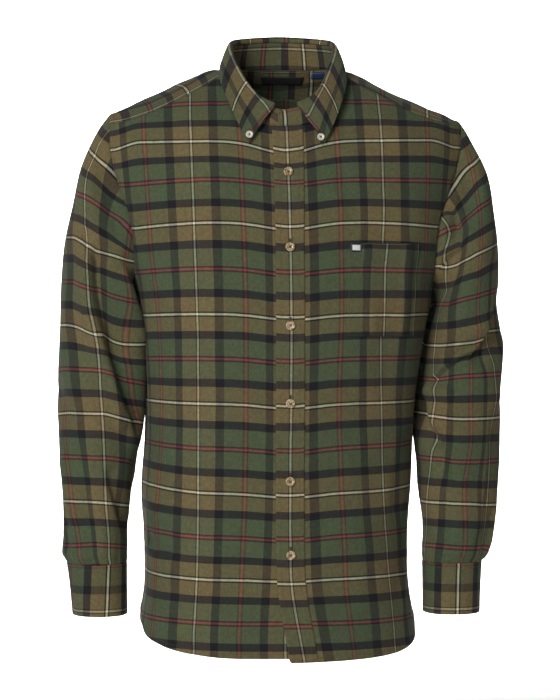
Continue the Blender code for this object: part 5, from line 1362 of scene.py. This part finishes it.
def add_stitches(name, groups, material, slot_name, length=STITCH_LENGTH, radius=STITCH_RADIUS):
    """One mesh of short threads whose ends dip into the cloth, from groups of middles, directions and normals."""
    middles, ways, normal = (np.concatenate([group[k] for group in groups]) for k in range(3))
    side = unit(np.cross(normal, ways))
    length = np.broadcast_to(length, len(middles))[:, None]
    corners = []
    for place, height, share in STITCH_PROFILE:
        centre = middles + ways * place * length + normal * height * radius
        for angle in np.pi * np.array((0.25, 0.75, 1.25, 1.75)):
            corners.append(centre + (side * np.cos(angle) + normal * np.sin(angle)) * radius * share)
    quads = [(0, 1, 2, 3), (15, 14, 13, 12)]
    for here in range(12):
        there = here - here % 4 + (here + 1) % 4
        quads.append((here, here + 4, there + 4, there))
    faces = np.array(quads) + 16 * np.arange(len(middles))[:, None, None]
    piece = add_mesh(name, np.stack(corners, axis=1).reshape(-1, 3), faces.reshape(-1, 4), materials[material])
    settle(piece, slot_name)


ARMHOLE_SHARE = ARMPIT / (len(PANEL) - 1)
FELL_LINE, EDGE_LINE, HEM_LINE, WIDE_LINE, PLACKET_LINE = 0.0062, 0.0016, HEM_WIDTH - 0.001, 0.0055, 0.006
POCKET_HEM_LINE, LABEL_LINE, TAB_LINE = 0.02, 0.0012, 0.001
LABEL_PITCH, SIZE_TAB_PITCH, POCKET_TAB_PITCH = 0.0022, 0.002, 0.0018
YOKE_FRONT_SHARE = 0.25        # either half of the yoke's front seam, as a share of its front edge
FIRST, LAST, BOTTOM, TOP = "first_column", "last_column", "first_row", "last_row"     # a cloth's edges

lines = []
for name in ("front_right", "front_left"):
    lines += stitches_on(name, (LAST, FELL_LINE, ARMHOLE_SHARE, 1.0), (BOTTOM, HEM_LINE))
lines += stitches_on("back", (FIRST, FELL_LINE), (LAST, FELL_LINE), (BOTTOM, HEM_LINE))
lines += stitches_on("yoke", (FIRST, FELL_LINE), (LAST, FELL_LINE), (TOP, FELL_LINE),
                     (BOTTOM, FELL_LINE, 0.0, YOKE_FRONT_SHARE), (BOTTOM, FELL_LINE, 1 - YOKE_FRONT_SHARE, 1.0))
for name in ("sleeve_right", "sleeve_left"):
    lines += stitches_on(name, (FIRST, FELL_LINE))
add_stitches("stitches_body", lines, "thread", "flannel")

lines = stitches_on("placket", (FIRST, PLACKET_LINE), (LAST, PLACKET_LINE))
lines += stitches_on("pocket", (FIRST, EDGE_LINE), (BOTTOM, EDGE_LINE), (TOP, POCKET_HEM_LINE))
for name, distance in (("cuff_right", WIDE_LINE), ("cuff_left", WIDE_LINE), ("sleeve_placket_right", EDGE_LINE),
                       ("sleeve_placket_left", EDGE_LINE), ("collar_stand", EDGE_LINE)):
    lines += stitches_on(name, *outline(name, distance))
lines += stitches_on("collar_leaf", (TOP, WIDE_LINE, 0.02, 0.98), (FIRST, WIDE_LINE, 0.1, 0.97),
                     (LAST, WIDE_LINE, 0.1, 0.97))
add_stitches("stitches_trim", lines, "thread", "trim_flannel")
lines = stitches_on("pocket", (LAST, EDGE_LINE), (TOP, LABEL_LINE, 0.12, 0.82))
add_stitches("stitches_pocket", lines, "moss_thread", "trim_flannel")
lines = stitches_on("neck_label", (FIRST, LABEL_LINE), (LAST, LABEL_LINE), (TOP, LABEL_LINE), inside=True,
                    pitch=LABEL_PITCH)
add_stitches("stitches_label", lines, "dark_thread_and_slit_shade", "label", length=0.0016)
lines = stitches_on("size_tab", (BOTTOM, TAB_LINE), (FIRST, TAB_LINE), inside=True, pitch=SIZE_TAB_PITCH)
lines += stitches_on("pocket_tab", (FIRST, TAB_LINE), (LAST, TAB_LINE), pitch=POCKET_TAB_PITCH)
add_stitches("stitches_tabs", lines, "pale_thread", "blue_tape", length=0.0013, radius=0.00022)

# ---------------------------------------------------------------- buttons and buttonholes
BUTTON_PROFILE = (      # way out and height of a turned button's half section, in radii and half thicknesses
    (0.00, -1.00), (0.80, -1.00), (0.93, -0.72), (1.00, -0.15), (0.995, 0.35), (0.94, 0.80), (0.86, 1.00),
    (0.76, 0.96), (0.66, 0.52), (0.55, 0.25), (0.30, 0.16), (0.00, 0.14))
BUTTON_TURNS = 40
HOLE_PLACE, HOLE_RADIUS = 0.2, 0.115
HOLE_BARS, HOLE_STEP, HOLE_OUT = 26, 0.0006, 0.0009     # of a buttonhole's stitches
SLIT_SHADE_PARTS, SLIT_SHADE_STEP = 6, HOLE_BARS * HOLE_STEP / 6.6  # of the dark threads along its slit, painted shade where the cut opens
THREADS_APART, THREADS_UP = 0.00022, 0.35               # the threads of a cross, and their height in the button
COLLAR_BUTTON_MOVED = dict(right=(0.0, -0.0008), left=(-0.0038, -0.0040))   # to the side and up
crosses, buttonholes, slit_shades = [], [], []       # middles, directions and normals of their threads


def button_mesh(name, radius, thickness):
    """A turned button with four holes bored through it."""
    turns = np.arange(BUTTON_TURNS) * 2 * np.pi / BUTTON_TURNS
    points, rings = [(0, 0, -thickness / 2)], []
    for out, height in BUTTON_PROFILE[1:-1]:
        rings.append(np.arange(BUTTON_TURNS) + len(points))
        points += [(radius * out * np.cos(t), radius * out * np.sin(t), height * thickness / 2) for t in turns]
    points.append((0, 0, BUTTON_PROFILE[-1][1] * thickness / 2))
    faces = []
    for k in range(BUTTON_TURNS):
        after = (k + 1) % BUTTON_TURNS
        faces.append((0, int(rings[0][after]), int(rings[0][k])))
        faces += [(int(a[k]), int(a[after]), int(b[after]), int(b[k])) for a, b in zip(rings, rings[1:])]
        faces.append((int(rings[-1][k]), int(rings[-1][after]), len(points) - 1))
    body = bpy.data.meshes.new(name)
    body.from_pydata(points, [], faces)
    button = add_object(name, body)
    drills = []
    for x in (-HOLE_PLACE, HOLE_PLACE):
        for y in (-HOLE_PLACE, HOLE_PLACE):
            bpy.ops.mesh.primitive_cylinder_add(vertices=14, radius=HOLE_RADIUS * radius, depth=thickness * 3,
                                                location=(x * radius, y * radius, 0))
            drills.append(bpy.context.object)
            cut = button.modifiers.new("hole", "BOOLEAN")
            cut.object, cut.operation, cut.solver = drills[-1], "DIFFERENCE", "EXACT"
    bored = bpy.data.meshes.new_from_object(button.evaluated_get(bpy.context.evaluated_depsgraph_get()))
    bored.name = name + "_bored"
    bored.shade_smooth()
    bored.set_sharp_from_angle(angle=np.radians(38))
    for thing in (button, *drills):
        bpy.data.objects.remove(thing)
    return bored


def add_button(node, mesh, material, slot_name, cloth_name, half_thickness, up=UP, slit_shift=0.003, moved=(0, 0)):
    """A button in place of a packed one, the threads through it, and the buttonhole beneath it, whose slit is painted
    shade drawn in dark thread.
    """
    cloth, wall = cloths[cloth_name], PIECES[cloth_name][0]
    centre = np.mean(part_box(node), axis=0) + (moved[0], 0.0, moved[1])
    gap = np.linalg.norm(cloth.points - centre, axis=2)
    row, column = np.unravel_index(np.argmin(gap), gap.shape)
    normal = unit(cloth.normal[row, column])
    upward = unit(up - normal * np.dot(up, normal))
    sideways = np.cross(upward, normal)
    face = centre + normal * (wall / 2 - np.dot(centre - cloth.points[row, column], normal))
    centre = face + normal * (LAYER_GAP + half_thickness)
    place = np.eye(4)
    place[:3, :3], place[:3, 3] = np.stack([sideways, upward, normal], axis=1), centre
    piece = add_object(node + "_turned", mesh.copy())
    piece.data.transform(Matrix(place.tolist()))
    piece.data.materials.clear()
    piece.data.materials.append(materials[material])
    settle(piece, slot_name, node)
    for way in (unit(upward + sideways), unit(upward - sideways)):
        for nudge in (-THREADS_APART, THREADS_APART):
            crosses.append((centre + normal * half_thickness * THREADS_UP + np.cross(normal, way) * nudge, way, normal))
    for k in range(HOLE_BARS):
        bar = face + upward * (slit_shift + (k - HOLE_BARS / 2) * HOLE_STEP)
        buttonholes.extend((bar + sideways * out * HOLE_OUT, sideways, normal) for out in (-1, 1))
    # dark threads along the slit: painted shade where the cut opens
    for k in range(SLIT_SHADE_PARTS):
        slit_shades.append((face + upward * (slit_shift + (k - (SLIT_SHADE_PARTS - 1) / 2) * SLIT_SHADE_STEP), upward, normal))


big = button_mesh("button", BUTTON_RADIUS, BUTTON_THICK)
small = button_mesh("small_button", SMALL_BUTTON_RADIUS, SMALL_BUTTON_THICK)
for k in range(1, 7):
    add_button(f"front_button_{k}", big, "horn", "horn_button", "placket", BUTTON_THICK / 2)
for side in (-1, 1):
    name = hand(side)
    add_button("cuff_button_" + name, big, "horn", "horn_button", "cuff_" + name, BUTTON_THICK / 2,
               up=np.array([-side, 0.0, 0.0]))
    add_button("collar_button_" + name, small, "pearl", "pearl_button", "collar_leaf", SMALL_BUTTON_THICK / 2,
               slit_shift=0.0, moved=COLLAR_BUTTON_MOVED[name])
# the slits' dark threads are painted shade; the label's dark stitches are real thread
for name, threads, material, slot_name, length, radius in (
        ("button_threads", crosses, "thread", "horn_button", BUTTON_RADIUS * HOLE_PLACE * 2.9, 0.0003),
        ("buttonhole_stitches", buttonholes, "thread", "trim_flannel", 0.0017, 0.0003),
        ("buttonhole_slit_shade", slit_shades, "dark_thread_and_slit_shade", "trim_flannel", 0.003, 0.00026)):
    group = [np.array(column) for column in zip(*threads)]
    add_stitches(name, [group], material, slot_name, length=length, radius=radius)

# ================================================================ studio
TARGET, AZIMUTH, ELEVATION, DISTANCE, LENS = (-0.00256, 0.0, -0.351), -3.0, 1.222, 3.0, 120.536
FLOOR_Z, FLOOR_COLOUR, WORLD_STRENGTH = -1.05, (0.92, 0.92, 0.92, 1), 0.12
SWEEP_FROM, SWEEP_RADIUS, SWEEP_TOP, SWEEP_WIDTH = 2.6, 1.2, 3.2, 9.0
MIDDLE = (0.0, 0.0, -0.35)
LIGHTS = dict(      # place, size, power, what it is aimed at and how wide it spreads
    key=((-2.0, -3.75, 1.15), (1.7, 1.7), 146, MIDDLE, 180),
    fill=((0.3, -4.0, -1.0), (2.4, 2.4), 11, MIDDLE, 180),
    above=((-0.6, -1.2, 2.4), (1.6, 1.6), 4, MIDDLE, 180),
    backdrop_left=((-2.0, 2.2, 0.9), (1.0, 1.6), 85, (0.3, 3.8, -0.5), 100),
    backdrop_right=((2.0, 2.2, 0.9), (1.0, 1.6), 85, (-0.3, 3.8, -0.5), 100),
)


def add_camera():
    azimuth, elevation = np.radians(AZIMUTH), np.radians(ELEVATION)
    back = np.array([np.sin(azimuth) * np.cos(elevation), -np.cos(azimuth) * np.cos(elevation), np.sin(elevation)])
    data = bpy.data.cameras.new("camera")
    data.sensor_fit, data.sensor_width, data.lens = "AUTO", 36, LENS
    data.clip_start, data.clip_end = 0.1, 100
    camera = add_object("camera", data)
    camera.location = np.array(TARGET) + DISTANCE * back
    camera.rotation_euler = Vector(back).to_track_quat("Z", "Y").to_euler()
    bpy.context.scene.camera = camera


def add_studio():
    """A pale floor that sweeps up into a backdrop, and soft light from the front, the sides and above."""
    profile = [(-6.0, FLOOR_Z), (SWEEP_FROM, FLOOR_Z)]
    for turn in np.radians(np.linspace(6, 90, 15)):
        profile.append((SWEEP_FROM + SWEEP_RADIUS * np.sin(turn), FLOOR_Z + SWEEP_RADIUS * (1 - np.cos(turn))))
    profile.append((SWEEP_FROM + SWEEP_RADIUS, SWEEP_TOP))
    points = [(x, y, z) for y, z in profile for x in (-SWEEP_WIDTH, SWEEP_WIDTH)]
    faces = [(2 * k, 2 * k + 1, 2 * k + 3, 2 * k + 2) for k in range(len(profile) - 1)]
    material, shader, _ = new_material("studio_floor", roughness=0.9)
    shader.inputs["Base Color"].default_value = FLOOR_COLOUR
    add_mesh("studio_floor", points, faces, material)
    world = bpy.data.worlds.new("studio")
    world.use_nodes = True
    background = world.node_tree.nodes["Background"].inputs
    background["Color"].default_value, background["Strength"].default_value = (1, 1, 1, 1), WORLD_STRENGTH
    bpy.context.scene.world = world
    for name, (place, size, power, aim, spread) in LIGHTS.items():
        data = bpy.data.lights.new(name, "AREA")
        data.shape, data.energy, data.spread = "RECTANGLE", power, np.radians(spread)
        data.size, data.size_y = size
        light = add_object(name, data)
        light.location = place
        light.rotation_euler = (Vector(place) - Vector(aim)).to_track_quat("Z", "Y").to_euler()
    bpy.context.scene.view_settings.view_transform = "Standard"
    bpy.context.scene.view_settings.look = "None"


add_camera()
add_studio()
